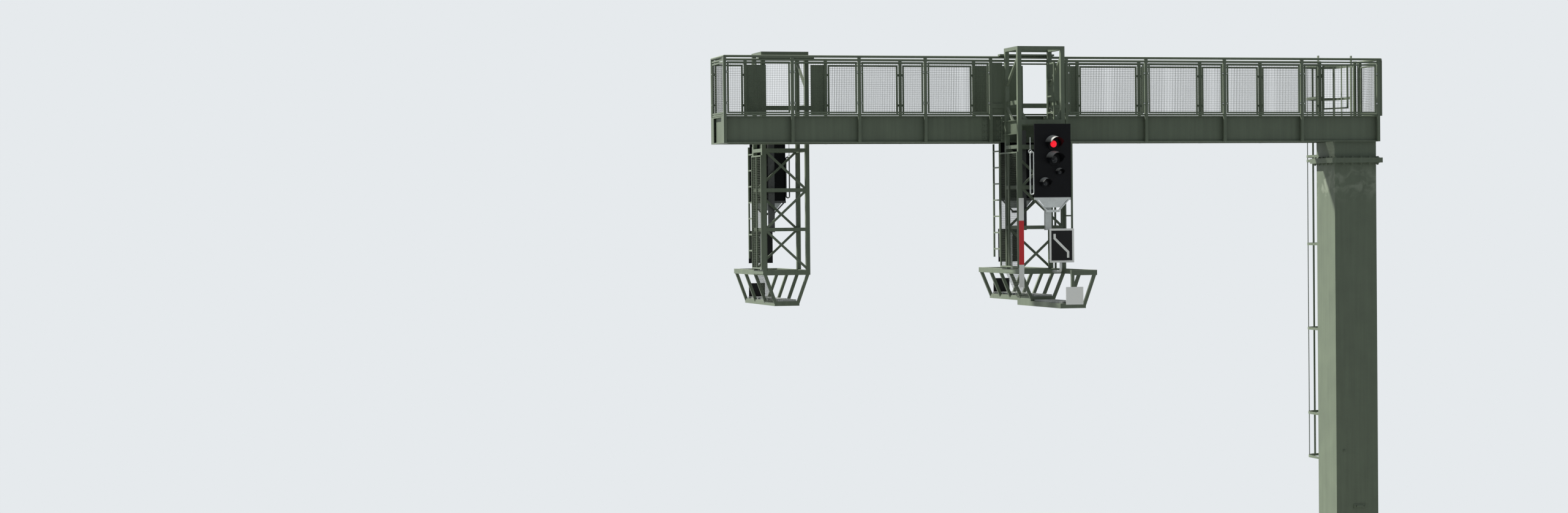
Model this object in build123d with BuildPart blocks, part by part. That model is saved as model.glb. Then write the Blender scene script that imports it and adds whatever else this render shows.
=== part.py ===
from build123d import *
import os

# Cantilever signal gantry for a railway line, carried by one column.
# Lengths are in millimetres.  The origin is the centre of the underside of the base plate.
# X runs along the beam, whose free end is on the low side.  Y runs to the rear, Z is up.

# Column
COLUMN_WIDTH = 800
COLUMN_DEPTH = 750
COLUMN_WALL = 15
BASE_WIDTH = 1100
BASE_DEPTH = 1050
BASE_THICKNESS = 50
ANCHOR_DIAMETER = 42
ANCHOR_EDGE = 75
RIB_HEIGHT = 220
RIB_REACH = 140
RIB_THICKNESS = 15
RIB_SPACING = 420
SPLICE_HEIGHT = 7919
SPLICE_PLATE = 44
SPLICE_OVERHANG_X = 85
SPLICE_OVERHANG_Y = 95
CAP_PLATE = 20

# Beam
BEAM_UNDERSIDE = 8250
BEAM_DEPTH = 1000
GIRDER_HEIGHT = 455
GIRDER_FLANGE = 150
GIRDER_PLATE = 20
GIRDER_WEB = 12
WEB_SET_BACK = 40
BEAM_END = 425
LEFT_BAY = 1169
LEFT_BAYS = 4
CAGE_BAY = 1372
RIGHT_BAY = 1464
RIGHT_BAYS = 4
DECK_HEIGHT = 350
DECK_THICKNESS = 30
DECK_GAP = 6
CROSS_BEAM_HEIGHT = 120
CROSS_BEAM_WIDTH = 80
CROSS_BEAM_PLATE = 10

# Railing
RAIL_TOP = 1476
RAIL_TUBE = 42
TUBE_SIDES = 12
POST = 50
POST_LAP = 14
RAIL_BAR = 26
UPPER_RAIL_DROP = 64
LOWER_RAIL_LIFT = 7
END_RAIL_REACH = 40
END_RAIL_BEND = 39.6
END_POST_DEPTH = 80
FOOT_PLATE = 12
FOOT_LENGTH = 160
PANEL_BAR = 26
PANEL_SIDE_GAP = 18
PANEL_LOW_GAP = 8
PANEL_TOP_GAP = 18
BRACKET_HEIGHT = 40
BRACKET_LEVELS = (0.2, 0.8)
COVER_THICKNESS = 4
REAR_TIP_BAY = 575
REAR_LEFT_BAY = 1340
REAR_LEFT_BAYS = 2
REAR_RIGHT_BAY = 1157
REAR_RIGHT_BAYS = 4
REAR_OPENING = (-5920, -5456)
LEFT_OPENING = (-10560, -9770)
KNEE_RAIL_HEIGHT = 80
KNEE_RAIL_LIFT = 585
KNEE_RAIL_THICKNESS = 10
KNEE_RAIL_SET_BACK = 3

# Cages
RIGHT_CAGE_X = -6200
LEFT_CAGE_X = -10200
CAGE_WIDTH = 840
CAGE_DEPTH = 720
CAGE_CLEARANCE = 80
CAGE_TOP = 9850
LEG = 70
TOP_BAR = 60
TIE_BAR = 30
TIE_DEPTH = 120
TIE_OVERHANG = 70
STEP_BAND = 80
CAGE_LEVELS = (8155, 7468, 6787)
CAGE_BAR = 60
CAGE_BAR_DEPTH = 40
DIAGONAL = 40
DIAGONAL_LAP = 23
SIDE_BRACE_TOP = 9700
SIDE_BRACE_FOOT = 9200
ARM_TOP = 8610
ARM_HEIGHT = 240
ARM_FLANGE = 12
ARM_WEB = 10
END_PLATE = 16
END_PLATE_WIDTH = 120
GUSSET_WIDTH = 110
GUSSET_HEIGHT = 170
GUSSET_THICKNESS = 10
MESH_BAR = 25
MESH_TOP = 8070
MESH_BOTTOM = 6110
RIGHT_MESH_REACH = 220

# Baskets
BASKET_TOP = 6085
BASKET_BAR = 60
BASKET_TOP_HEIGHT = 85
BASKET_BOTTOM_WIDTH = 440
BASKET_RAIL = 50
BASKET_BOTTOM_HEIGHT = 80
BASKET_LEG = 50
LEFT_FLOOR = 5550
RIGHT_FLOOR = 5620
FLOOR_THICKNESS = 30
FLOOR_WIDTH = 330
LEFT_BASKET_END = 2830
RIGHT_BASKET_END = 920
FRONT_BASKET_END = -2800
FRONT_LAP_END = -600
RIGHT_BASKET_BAYS = 4
LEFT_BASKET_BAYS = 3

# Ladders
STILE = 28
RUNG = 24
RUNG_PITCH = 280
CAGE_LADDER_WIDTH = 360
CAGE_LADDER_FOOT = 6280
CAGE_LADDER_TOP = 8230
INNER_LADDER_TOP = 9600
LADDER_CENTRE = 57
LADDER_WIDTH = 500
LADDER_STANDOFF = 200
LADDER_STILE_DEPTH = 60
LADDER_STILE_THICKNESS = 14
LADDER_FOOT = 350
LADDER_HEAD = 8690
WALL_BRACKET_PITCH = 3080
WALK_THROUGH = 656
WALK_TOP = 9830
WALK_FOOT = 8300
HOOP_BAND = 45
HOOP_THICKNESS = 8
HOOP_RADIUS = 335
HOOP_SIDE = 375
HOOP_LEVELS = (9650, 9070, 8020, 7940, 6425)
HOOP_PITCH = 1540
HOOP_FOOT = 2550
HOOP_GAP = 500
STRAP_WIDTH = 40
STRAPS = 5
STRAP_LAP = 1

# Ladder gate, drawn as it stands ajar
GATE_POST_X = -285
GATE_WIDTH = 600
GATE_BOTTOM = 8850
GATE_TOP = 9640
GATE_ANGLE = 65
GATE_BAR = 26
GATE_PIN = 15
GATE_PIN_CLEARANCE = 0.1
GATE_BARREL = 30
GATE_LEAF_GAP = 3
GATE_BARREL_LENGTH = 50
GATE_HINGE_GAP = 20
GATE_HINGE_LEVELS = (9030, 9440)
GATE_BRACKET = 20
SEAT_GAP = 0.3

# Signals
SCREEN_WIDTH = 640
SCREEN_HEIGHT = 1236
SCREEN_SHEET = 6
SCREEN_RIM = 33
SCREEN_BOTTOM = 7290
SCREEN_REACH = 350
SCREEN_OFFSET = 70
LAMPS = ((0.52, 0.275, 110), (0.54, 0.486, 110), (0.69, 0.66, 55), (0.285, 0.81, 75))
HOUSING_DEPTH = 60
HOUSING_MARGIN = 15
HOOD_SHEET = 4
HOOD_LENGTH = 2.3
HOOD_ROOT = 0.6
HOOD_LIP = 0.3
HOOD_TIP = 0.5
SIGNAL_POST_WIDTH = 110
SIGNAL_POST_DEPTH = 60
SIGNAL_POST_GAP = 50
SIGNAL_POST_TOP = 8450
SIGNAL_POST_FOOT = 6740
SIGNAL_ARM = 50
SCREEN_ARM_LEVEL = 7370
SCREEN_ARM_LAMP = 1
HANGER_BAR = 40
HANGER_WIDTH = 240
HANGER_HEIGHT = 230
LOOP_TUBE = 24
LOOP_SIDES = 8
LOOP_WIDTH = 85
LOOP_BOTTOM = 7330
LOOP_HEIGHT = 740
SIGN_WIDTH = 436
SIGN_HEIGHT = 570
SIGN_THICKNESS = 10
SIGN_BOTTOM = 6195
SIGN_OFFSET = 180
SIGN_REACH = 460
SIGN_PIPE = 42
SIGN_PIPE_BEND = 70
SIGN_PIPE_DROP = 57
SIGN_CLAMP = 60
SIGN_CLAMP_LEVELS = (0.2, 0.8)
PLATE_SHEET = 4
MAST_PLATE_WIDTH = 90
MAST_PLATE_TOP = 7285
MAST_PLATE_BOTTOM = 5774
NUMBER_WIDTH = 300
NUMBER_HEIGHT = 290
NUMBER_LAP = 20

# Places worked out from the sizes above
half_depth = BEAM_DEPTH / 2
flange_tip = half_depth - POST
web_face = flange_tip - WEB_SET_BACK
web_inside = web_face - GIRDER_WEB
flange_inside = flange_tip - GIRDER_FLANGE
girder_top = BEAM_UNDERSIDE + GIRDER_HEIGHT
rail_top = BEAM_UNDERSIDE + RAIL_TOP
rail_axis = rail_top - RAIL_TUBE / 2
rail_y = half_depth - RAIL_TUBE / 2
post_top = rail_axis - POST_LAP
upper_rail = (rail_top - UPPER_RAIL_DROP - RAIL_BAR, rail_top - UPPER_RAIL_DROP)
lower_rail = (girder_top + LOWER_RAIL_LIFT, girder_top + LOWER_RAIL_LIFT + RAIL_BAR)
panel = (lower_rail[1] + PANEL_LOW_GAP, upper_rail[0] - PANEL_TOP_GAP)
end_post = BEAM_END - POST / 2
right_posts = [end_post - RIGHT_BAY * i for i in range(RIGHT_BAYS + 1)]
left_posts = [right_posts[-1] - CAGE_BAY - LEFT_BAY * i for i in range(LEFT_BAYS + 1)]
tip_post = left_posts[-1]
tip = tip_post - POST / 2
front_posts = right_posts + left_posts[:-1]
rear_right_posts = [GATE_POST_X - REAR_RIGHT_BAY * i for i in range(REAR_RIGHT_BAYS + 1)]
rear_left_posts = [left_posts[0] - REAR_LEFT_BAY * i for i in range(REAR_LEFT_BAYS + 1)]
rear_tip_post = tip_post + REAR_TIP_BAY
rear_posts = [end_post] + rear_right_posts + [right_posts[-1]] + rear_left_posts + [rear_tip_post]
deck_top = BEAM_UNDERSIDE + DECK_HEIGHT
deck_bottom = deck_top - DECK_THICKNESS
splice_bottom = SPLICE_HEIGHT - SPLICE_PLATE
splice_top = SPLICE_HEIGHT + SPLICE_PLATE
cage_near = half_depth + CAGE_CLEARANCE
cage_far = cage_near + CAGE_DEPTH
leg_x = (CAGE_WIDTH - LEG) / 2
ladder_y = COLUMN_DEPTH / 2 + LADDER_STANDOFF
hinge_x = GATE_POST_X + POST / 2 + GATE_HINGE_GAP
hinge_y = flange_tip + POST / 2


def block(x, y, z):
    """Box between the lowest and highest corner."""
    with Locations(((x[0] + x[1]) / 2, (y[0] + y[1]) / 2, (z[0] + z[1]) / 2)):
        Box(abs(x[1] - x[0]), abs(y[1] - y[0]), abs(z[1] - z[0]))


def around(middle, size):
    """Range of a size about its middle."""
    return (middle - size / 2, middle + size / 2)


def outward(side, near, far):
    """Range in Y between two distances from the beam's axis, on the front or rear side."""
    return (side * near, side * far)


def strut(start, end, width, depth, across):
    """Straight bar of rectangular section, its width along the given direction."""
    run = Vector(*end) - Vector(*start)
    with BuildSketch(Plane(origin=start, x_dir=across, z_dir=run)) as section:
        Rectangle(width, depth)
    extrude(section.sketch, amount=run.length)


def tube_x(x, y, z, diameter):
    """Round bar along X."""
    with BuildSketch(Plane(origin=(x[0], y, z), x_dir=(0, 1, 0), z_dir=(1, 0, 0))) as section:
        Circle(diameter / 2)
    extrude(section.sketch, amount=x[1] - x[0])


def girder_profile(outer, inner):
    """Flanges and web of a plate girder, drawn from its outer tip to its inner tip."""
    turn = 1 if inner > outer else -1
    middle = (outer + inner) / 2
    web = outer + turn * (WEB_SET_BACK + GIRDER_WEB / 2)
    with Locations((middle, BEAM_UNDERSIDE + GIRDER_PLATE / 2), (middle, girder_top - GIRDER_PLATE / 2)):
        Rectangle(GIRDER_FLANGE, GIRDER_PLATE)
    with Locations((web, BEAM_UNDERSIDE + GIRDER_HEIGHT / 2)):
        Rectangle(GIRDER_WEB, GIRDER_HEIGHT - GIRDER_PLATE)


def long_girder(side, posts):
    """Front or rear girder with a stiffener behind each post and an end plate at each end."""
    with BuildSketch(Plane(origin=(tip, 0, 0), x_dir=(0, 1, 0), z_dir=(1, 0, 0))) as section:
        girder_profile(side * flange_tip, side * flange_inside)
    extrude(section.sketch, amount=BEAM_END - tip)
    between = (BEAM_UNDERSIDE + GIRDER_PLATE, girder_top - GIRDER_PLATE)
    for x in posts:
        block(around(x, GIRDER_WEB), outward(side, web_face, flange_tip), between)
    for x in ((tip, tip + GIRDER_WEB), (BEAM_END - GIRDER_WEB, BEAM_END)):
        block(x, outward(side, flange_inside, flange_tip), between)


def cross_girder(outer, turn):
    """Girder across the end of the trough: flanges between the long girders' flanges."""
    start = (0, -flange_inside, 0)
    with BuildSketch(Plane(origin=start, x_dir=(-1, 0, 0), z_dir=(0, 1, 0))) as section:
        with Locations((-outer - turn * GIRDER_FLANGE / 2, BEAM_UNDERSIDE + GIRDER_PLATE / 2)):
            Rectangle(GIRDER_FLANGE, GIRDER_PLATE)
        with Locations((-outer - turn * GIRDER_FLANGE / 2, girder_top - GIRDER_PLATE / 2)):
            Rectangle(GIRDER_FLANGE, GIRDER_PLATE)
    extrude(section.sketch, amount=2 * flange_inside)
    web = sorted((outer + turn * WEB_SET_BACK, outer + turn * (WEB_SET_BACK + GIRDER_WEB)))
    height = (BEAM_UNDERSIDE + GIRDER_PLATE, girder_top - GIRDER_PLATE)
    block(web, (-web_inside, web_inside), height)


def side_rails(side, start, end):
    """Upper and lower rail bar along the beam."""
    depth = outward(side, rail_y - RAIL_BAR / 2, rail_y + RAIL_BAR / 2)
    block((start, end), depth, upper_rail)
    block((start, end), depth, lower_rail)


def side_post(x, side):
    """Post from the beam's underside into the handrail."""
    block(around(x, POST), outward(side, flange_tip, half_depth), (BEAM_UNDERSIDE, post_top))


def knee_rail(side, start, end):
    """Flat knee rail across a cage opening."""
    face = half_depth - KNEE_RAIL_SET_BACK
    low = BEAM_UNDERSIDE + KNEE_RAIL_LIFT
    block((start, end), outward(side, face - KNEE_RAIL_THICKNESS, face), (low, low + KNEE_RAIL_HEIGHT))


def panel_along(side, start, end):
    """Frame of one mesh panel between two posts, with two brackets on each side."""
    x = (start + POST / 2 + PANEL_SIDE_GAP, end - POST / 2 - PANEL_SIDE_GAP)
    depth = outward(side, rail_y - PANEL_BAR / 2, rail_y + PANEL_BAR / 2)
    block((x[0], x[0] + PANEL_BAR), depth, panel)
    block((x[1] - PANEL_BAR, x[1]), depth, panel)
    block(x, depth, (panel[0], panel[0] + PANEL_BAR))
    block(x, depth, (panel[1] - PANEL_BAR, panel[1]))
    for level in BRACKET_LEVELS:
        z = around(panel[0] + level * (panel[1] - panel[0]), BRACKET_HEIGHT)
        block((x[0] - PANEL_SIDE_GAP, x[0]), depth, z)
        block((x[1], x[1] + PANEL_SIDE_GAP), depth, z)


def panel_across(x_middle, reach):
    """Frame of the mesh panel across an end of the beam, with brackets to its posts."""
    x = around(x_middle, PANEL_BAR)
    half = reach - PANEL_SIDE_GAP
    for side in (-1, 1):
        block(x, outward(side, half - PANEL_BAR, half), panel)
        for level in BRACKET_LEVELS:
            z = around(panel[0] + level * (panel[1] - panel[0]), BRACKET_HEIGHT)
            block(x, outward(side, half, reach), z)
    block(x, (-half, half), (panel[0], panel[0] + PANEL_BAR))
    block(x, (-half, half), (panel[1] - PANEL_BAR, panel[1]))


def cover(side, start, end):
    """Sheet panel in the plane of the railing."""
    block((start, end), outward(side, rail_y - COVER_THICKNESS / 2, rail_y + COVER_THICKNESS / 2), panel)


def ladder_yz(x, y, z):
    """Ladder whose rungs run along Y between two square stiles."""
    low, high = sorted(y)
    block((x, x + STILE), (low, low + STILE), z)
    block((x, x + STILE), (high - STILE, high), z)
    rungs = int((z[1] - z[0] - RUNG_PITCH / 2) // RUNG_PITCH) + 1
    for i in range(rungs):
        level = z[0] + RUNG_PITCH / 2 + i * RUNG_PITCH
        block(around(x + STILE / 2, RUNG), (low + STILE, high - STILE), around(level, RUNG))


def cage_frame(middle, side):
    """Four legs with level bars, crossed diagonals, cantilever arms and corner gussets."""
    inside = CAGE_WIDTH / 2 - LEG
    planes = ((cage_near, cage_near + LEG), (cage_far - LEG, cage_far))
    bars = ((cage_near, cage_near + CAGE_BAR_DEPTH), (cage_far - CAGE_BAR_DEPTH, cage_far))
    for turn in (-1, 1):
        for plane in planes:
            block(around(middle + turn * leg_x, LEG), outward(side, *plane), (BASKET_TOP, CAGE_TOP))
        between = outward(side, planes[0][1], planes[1][0])
        leg_range = around(middle + turn * leg_x, LEG)
        block(leg_range, between, (CAGE_TOP - TOP_BAR, CAGE_TOP))
        for level in CAGE_LEVELS:
            block(leg_range, between, around(level, CAGE_BAR))
        block(leg_range, between, (ARM_TOP - ARM_FLANGE, ARM_TOP))
        block(leg_range, between, (ARM_TOP - ARM_HEIGHT, ARM_TOP - ARM_HEIGHT + ARM_FLANGE))
        web = around(middle + turn * leg_x, ARM_WEB)
        block(web, between, (ARM_TOP - ARM_HEIGHT + ARM_FLANGE, ARM_TOP - ARM_FLANGE))
        top = (middle + turn * leg_x, side * (cage_far - LEG / 2), SIDE_BRACE_TOP)
        foot = (middle + turn * leg_x, side * (cage_near + LEG / 2), SIDE_BRACE_FOOT)
        strut(foot, top, DIAGONAL, DIAGONAL, (1, 0, 0))
    width = (middle - inside, middle + inside)
    for number, bar in enumerate(bars):
        depth = outward(side, *bar)
        block(width, depth, (CAGE_TOP - TOP_BAR, CAGE_TOP))
        block(width, depth, (ARM_TOP - STEP_BAND, ARM_TOP))
        for level in CAGE_LEVELS:
            block(width, depth, around(level, CAGE_BAR))
        levels = list(CAGE_LEVELS) + [BASKET_TOP + DIAGONAL / 2]
        y = side * (bar[0] + bar[1]) / 2
        for bay in range(len(levels) - 1):
            turn = 1 if (bay + number) % 2 == 0 else -1
            start = (middle - turn * (inside + DIAGONAL_LAP), y, levels[bay])
            end = (middle + turn * (inside + DIAGONAL_LAP), y, levels[bay + 1])
            strut(start, end, DIAGONAL / 2, DIAGONAL, (0, 1, 0))
    for turn in (-1, 1):
        corner = (middle + turn * inside, ARM_TOP)
        y = side * (cage_far - CAGE_BAR_DEPTH / 2 - GUSSET_THICKNESS / 2)
        with BuildSketch(Plane(origin=(0, y, 0), x_dir=(1, 0, 0), z_dir=(0, -1, 0))) as plate:
            with BuildLine():
                points = [corner, (corner[0] - turn * GUSSET_WIDTH, corner[1])]
                points += [(corner[0], corner[1] + GUSSET_HEIGHT)]
                Polyline(*points, close=True)
            make_face()
        extrude(plate.sketch, amount=GUSSET_THICKNESS / 2, both=True)
    tie = (middle - CAGE_WIDTH / 2 - TIE_OVERHANG, middle + CAGE_WIDTH / 2 + TIE_OVERHANG)
    block(tie, outward(side, cage_near - TIE_DEPTH, cage_near), (rail_top, rail_top + TIE_BAR))


def cage_brackets(middle, side):
    """End plates on the girder and the short arms that reach the cage's legs."""
    start = flange_tip + END_PLATE
    for turn in (-1, 1):
        x = middle + turn * leg_x
        block(around(x, END_PLATE_WIDTH), outward(side, flange_tip, start), (BEAM_UNDERSIDE, girder_top))
        reach = outward(side, start, cage_near)
        block(around(x, LEG), reach, (ARM_TOP - ARM_FLANGE, ARM_TOP))
        block(around(x, LEG), reach, (ARM_TOP - ARM_HEIGHT, ARM_TOP - ARM_HEIGHT + ARM_FLANGE))
        web = (ARM_TOP - ARM_HEIGHT + ARM_FLANGE, ARM_TOP - ARM_FLANGE)
        block(around(x, ARM_WEB), reach, web)


def cage_mesh(middle, side, near):
    """Frame of the mesh on the cage's left side, outside its legs."""
    x = (middle - CAGE_WIDTH / 2 - MESH_BAR, middle - CAGE_WIDTH / 2)
    block(x, outward(side, near, cage_far), (MESH_TOP - MESH_BAR, MESH_TOP))
    block(x, outward(side, near, cage_far), (MESH_BOTTOM, MESH_BOTTOM + MESH_BAR))
    for start in (near, (near + cage_far - MESH_BAR) / 2, cage_far - MESH_BAR):
        block(x, outward(side, start, start + MESH_BAR), (MESH_BOTTOM, MESH_TOP))


def basket_legs(middle, y, floor, turns):
    """Sloping legs from the top rails down to the bottom rails at one place."""
    top = CAGE_WIDTH / 2 - BASKET_BAR / 2
    low = BASKET_BOTTOM_WIDTH / 2 - BASKET_RAIL / 2
    for turn in turns:
        head = (middle + turn * top, y, BASKET_TOP - BASKET_TOP_HEIGHT / 2)
        foot = (middle + turn * low, y, floor - BASKET_BOTTOM_HEIGHT / 2)
        strut(foot, head, BASKET_LEG, BASKET_LEG, (0, 1, 0))


def basket_bottom(middle, y, floor, stations):
    """Bottom rails and the cross bars that carry the floor."""
    height = (floor - BASKET_BOTTOM_HEIGHT, floor)
    half = BASKET_BOTTOM_WIDTH / 2
    block((middle - half, middle - half + BASKET_RAIL), y, height)
    block((middle + half - BASKET_RAIL, middle + half), y, height)
    for station in stations:
        block((middle - half, middle + half), around(station, BASKET_RAIL), height)


def basket(middle, start, end, floor, bays, planes):
    """Work basket: level top frame, sloping legs, narrow bottom frame."""
    half = CAGE_WIDTH / 2
    y = (min(start, end), max(start, end))
    height = (BASKET_TOP - BASKET_TOP_HEIGHT, BASKET_TOP)
    block((middle - half, middle - half + BASKET_BAR), y, height)
    block((middle + half - BASKET_BAR, middle + half), y, height)
    for plane in planes:
        block((middle - half, middle + half), plane, height)
    low = y[0] + BASKET_LEG / 2
    pitch = (y[1] - y[0] - BASKET_LEG) / bays
    stations = [low + pitch * i for i in range(bays + 1)]
    for station in stations:
        basket_legs(middle, station, floor, (-1, 1))
    basket_bottom(middle, y, floor, stations)


def basket_floor(middle, start, end, floor):
    """Floor grating between the legs of a basket."""
    block(around(middle, FLOOR_WIDTH), (start, end), (floor, floor + FLOOR_THICKNESS))


def make_hood(radius):
    """Curved hood over a lamp, open below, its mouth cut back towards the bottom."""
    length = HOOD_LENGTH * radius
    with BuildPart() as piece:
        with BuildSketch(Plane.XZ):
            Circle(radius + HOOD_SHEET)
            Circle(radius, mode=Mode.SUBTRACT)
        extrude(amount=length)
        with BuildSketch(Plane.YZ):
            with BuildLine():
                side = radius + 2 * HOOD_SHEET
                low = -radius * HOOD_ROOT
                mouth = [(-length, side), (0, side), (0, low), (-radius * HOOD_LIP, low)]
                Polyline(*mouth, (-length, radius * HOOD_TIP), close=True)
            make_face()
        extrude(amount=2 * radius, both=True, mode=Mode.INTERSECT)
    return piece.part


def lamp_place(lamp):
    """Place of a lamp's axis on the screen."""
    x = SCREEN_OFFSET - SCREEN_WIDTH / 2 + lamp[0] * SCREEN_WIDTH
    z = SCREEN_BOTTOM + SCREEN_HEIGHT * (1 - lamp[1])
    return (x, -SCREEN_REACH, z)


def signal_head(hoods):
    """Screen with a folded rim, lamp housings behind it and a hood over each lamp."""
    x = around(SCREEN_OFFSET, SCREEN_WIDTH)
    z = (SCREEN_BOTTOM, SCREEN_BOTTOM + SCREEN_HEIGHT)
    block(x, (-SCREEN_REACH, -SCREEN_REACH + SCREEN_SHEET), z)
    rim = (-SCREEN_REACH + SCREEN_SHEET, -SCREEN_REACH + SCREEN_RIM)
    block((x[0], x[0] + SCREEN_SHEET), rim, z)
    block((x[1] - SCREEN_SHEET, x[1]), rim, z)
    block(x, rim, (z[0], z[0] + SCREEN_SHEET))
    block(x, rim, (z[1] - SCREEN_SHEET, z[1]))
    for lamp, hood in zip(LAMPS, hoods):
        place = lamp_place(lamp)
        with Locations(place):
            add(hood)
        with Locations(Location((place[0], place[1] + HOUSING_DEPTH / 2, place[2]), (90, 0, 0))):
            Cylinder(lamp[2] + HOUSING_MARGIN, HOUSING_DEPTH)


def signal_support():
    """Post on the cage, arms and hanger under the screen, and a loop to hold on to."""
    back = -SCREEN_REACH + SCREEN_SHEET
    post_y = (-SIGNAL_POST_GAP - SIGNAL_POST_DEPTH, -SIGNAL_POST_GAP)
    block(around(SCREEN_OFFSET, SIGNAL_POST_WIDTH), post_y, (SIGNAL_POST_FOOT, SIGNAL_POST_TOP))
    for level in CAGE_LEVELS:
        block(around(SCREEN_OFFSET, SIGNAL_ARM), (-SIGNAL_POST_GAP, 0), around(level, SIGNAL_ARM))
    level = lamp_place(LAMPS[SCREEN_ARM_LAMP])[2]
    housing = -SCREEN_REACH + HOUSING_DEPTH
    block(around(SCREEN_OFFSET, SIGNAL_ARM), (housing, post_y[0]), around(level, SIGNAL_ARM))
    block(around(SCREEN_OFFSET, SIGNAL_ARM), (back, post_y[0]), around(SCREEN_ARM_LEVEL, SIGNAL_ARM))
    rail_y_range = (back, back + HANGER_BAR)
    top = SCREEN_BOTTOM
    foot = top - HANGER_HEIGHT
    half = SCREEN_WIDTH / 2
    middle = (back + back + HANGER_BAR) / 2
    block(around(SCREEN_OFFSET, SCREEN_WIDTH), rail_y_range, (top - HANGER_BAR, top))
    block(around(SCREEN_OFFSET, HANGER_WIDTH), rail_y_range, (foot - HANGER_BAR / 2, foot + HANGER_BAR / 2))
    block(around(SCREEN_OFFSET, SIGNAL_ARM), (back + HANGER_BAR, post_y[0]), around(foot, HANGER_BAR))
    for turn in (-1, 1):
        start = (SCREEN_OFFSET + turn * (HANGER_WIDTH / 2 - HANGER_BAR / 2), middle, foot)
        end = (SCREEN_OFFSET + turn * (half - HANGER_BAR / 2), middle, top - HANGER_BAR / 2)
        strut(start, end, HANGER_BAR, HANGER_BAR / 2, (0, 1, 0))
    edge = SCREEN_OFFSET - half
    centre = (edge - LOOP_WIDTH / 2, back + LOOP_TUBE / 2, LOOP_BOTTOM + LOOP_HEIGHT / 2)
    straight = (LOOP_HEIGHT - LOOP_WIDTH) / 2
    reach = (LOOP_WIDTH - LOOP_TUBE) / 2
    with BuildLine(Plane(origin=centre, x_dir=(1, 0, 0), z_dir=(0, -1, 0))) as loop:
        Line((-reach, -straight), (-reach, straight))
        ThreePointArc((-reach, straight), (0, straight + reach), (reach, straight))
        Line((reach, straight), (reach, -straight))
        ThreePointArc((reach, -straight), (0, -straight - reach), (-reach, -straight))
    with BuildSketch(Plane(origin=loop.line @ 0, z_dir=loop.line % 0)) as section:
        RegularPolygon(LOOP_TUBE / 2, LOOP_SIDES)
    sweep(section.sketch, path=loop.line)
    for level in (-straight / 2, straight / 2):
        lug = (edge - LOOP_TUBE / 2, edge)
        block(lug, around(centre[1], LOOP_TUBE / 2), around(centre[2] + level, LOOP_TUBE))


def indicator_pipe():
    """Bent pipe from the basket's cross bar up to the back of the indicator."""
    level = BASKET_TOP - BASKET_TOP_HEIGHT / 2
    y = -SIGN_REACH + SIGN_THICKNESS + SIGN_PIPE
    top = SIGN_BOTTOM + SIGN_HEIGHT - SIGN_PIPE_DROP
    x = SIGN_OFFSET
    with BuildLine() as route:
        FilletPolyline((x, 0, level), (x, y, level), (x, y, top), radius=SIGN_PIPE_BEND)
    with BuildSketch(Plane(origin=route.line @ 0, z_dir=route.line % 0)) as section:
        RegularPolygon(SIGN_PIPE / 2, TUBE_SIDES)
    sweep(section.sketch, path=route.line)
    for part in SIGN_CLAMP_LEVELS:
        z = around(SIGN_BOTTOM + SIGN_HEIGHT * part, SIGN_CLAMP / 2)
        block(around(x, SIGN_CLAMP), (y - SIGN_PIPE, y), z)


def indicator_sign():
    """Flat plate of the indicator."""
    z = (SIGN_BOTTOM, SIGN_BOTTOM + SIGN_HEIGHT)
    block(around(SIGN_OFFSET, SIGN_WIDTH), (-SIGN_REACH, -SIGN_REACH + SIGN_THICKNESS), z)


# Places of the three signals: cage, plane of the cage that carries it, and its turn about Z
front_place = Location((RIGHT_CAGE_X, -cage_far, 0))
rear_place = Location((RIGHT_CAGE_X, -cage_near, 0), (0, 0, 180))
left_place = Location((LEFT_CAGE_X, cage_far, 0), (0, 0, 180))
hoods = [make_hood(lamp[2]) for lamp in LAMPS]

# Column foot
with BuildPart() as base_plate:
    anchors_x = BASE_WIDTH / 2 - ANCHOR_EDGE
    anchors_y = BASE_DEPTH / 2 - ANCHOR_EDGE
    with BuildSketch():
        Rectangle(BASE_WIDTH, BASE_DEPTH)
        with GridLocations(2 * anchors_x, 2 * anchors_y, 2, 2):
            Circle(ANCHOR_DIAMETER / 2, mode=Mode.SUBTRACT)
        with Locations((anchors_x, 0), (-anchors_x, 0), (0, anchors_y), (0, -anchors_y)):
            Circle(ANCHOR_DIAMETER / 2, mode=Mode.SUBTRACT)
    extrude(amount=BASE_THICKNESS)
    for turn in (-1, 1):
        for offset in (-RIB_SPACING / 2, RIB_SPACING / 2):
            with BuildSketch(Plane.XZ.offset(-offset)) as rib:
                with BuildLine():
                    root = turn * COLUMN_WIDTH / 2
                    end = root + turn * RIB_REACH
                    low = BASE_THICKNESS
                    Polyline((root, low), (end, low), (root, low + RIB_HEIGHT), close=True)
                make_face()
            extrude(rib.sketch, amount=RIB_THICKNESS / 2, both=True)
            with BuildSketch(Plane.YZ.offset(offset)) as rib:
                with BuildLine():
                    root = turn * COLUMN_DEPTH / 2
                    end = root + turn * RIB_REACH
                    Polyline((root, low), (end, low), (root, low + RIB_HEIGHT), close=True)
                make_face()
            extrude(rib.sketch, amount=RIB_THICKNESS / 2, both=True)

# Column shaft and the plate on top of it
with BuildPart() as column_shaft:
    with BuildSketch(Plane.XY.offset(BASE_THICKNESS)):
        Rectangle(COLUMN_WIDTH, COLUMN_DEPTH)
        Rectangle(COLUMN_WIDTH - 2 * COLUMN_WALL, COLUMN_DEPTH - 2 * COLUMN_WALL, mode=Mode.SUBTRACT)
    extrude(amount=splice_bottom - BASE_THICKNESS)

with BuildPart() as shaft_flange:
    with BuildSketch(Plane.XY.offset(splice_bottom)):
        Rectangle(COLUMN_WIDTH + 2 * SPLICE_OVERHANG_X, COLUMN_DEPTH + 2 * SPLICE_OVERHANG_Y)
    extrude(amount=SPLICE_PLATE)

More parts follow.
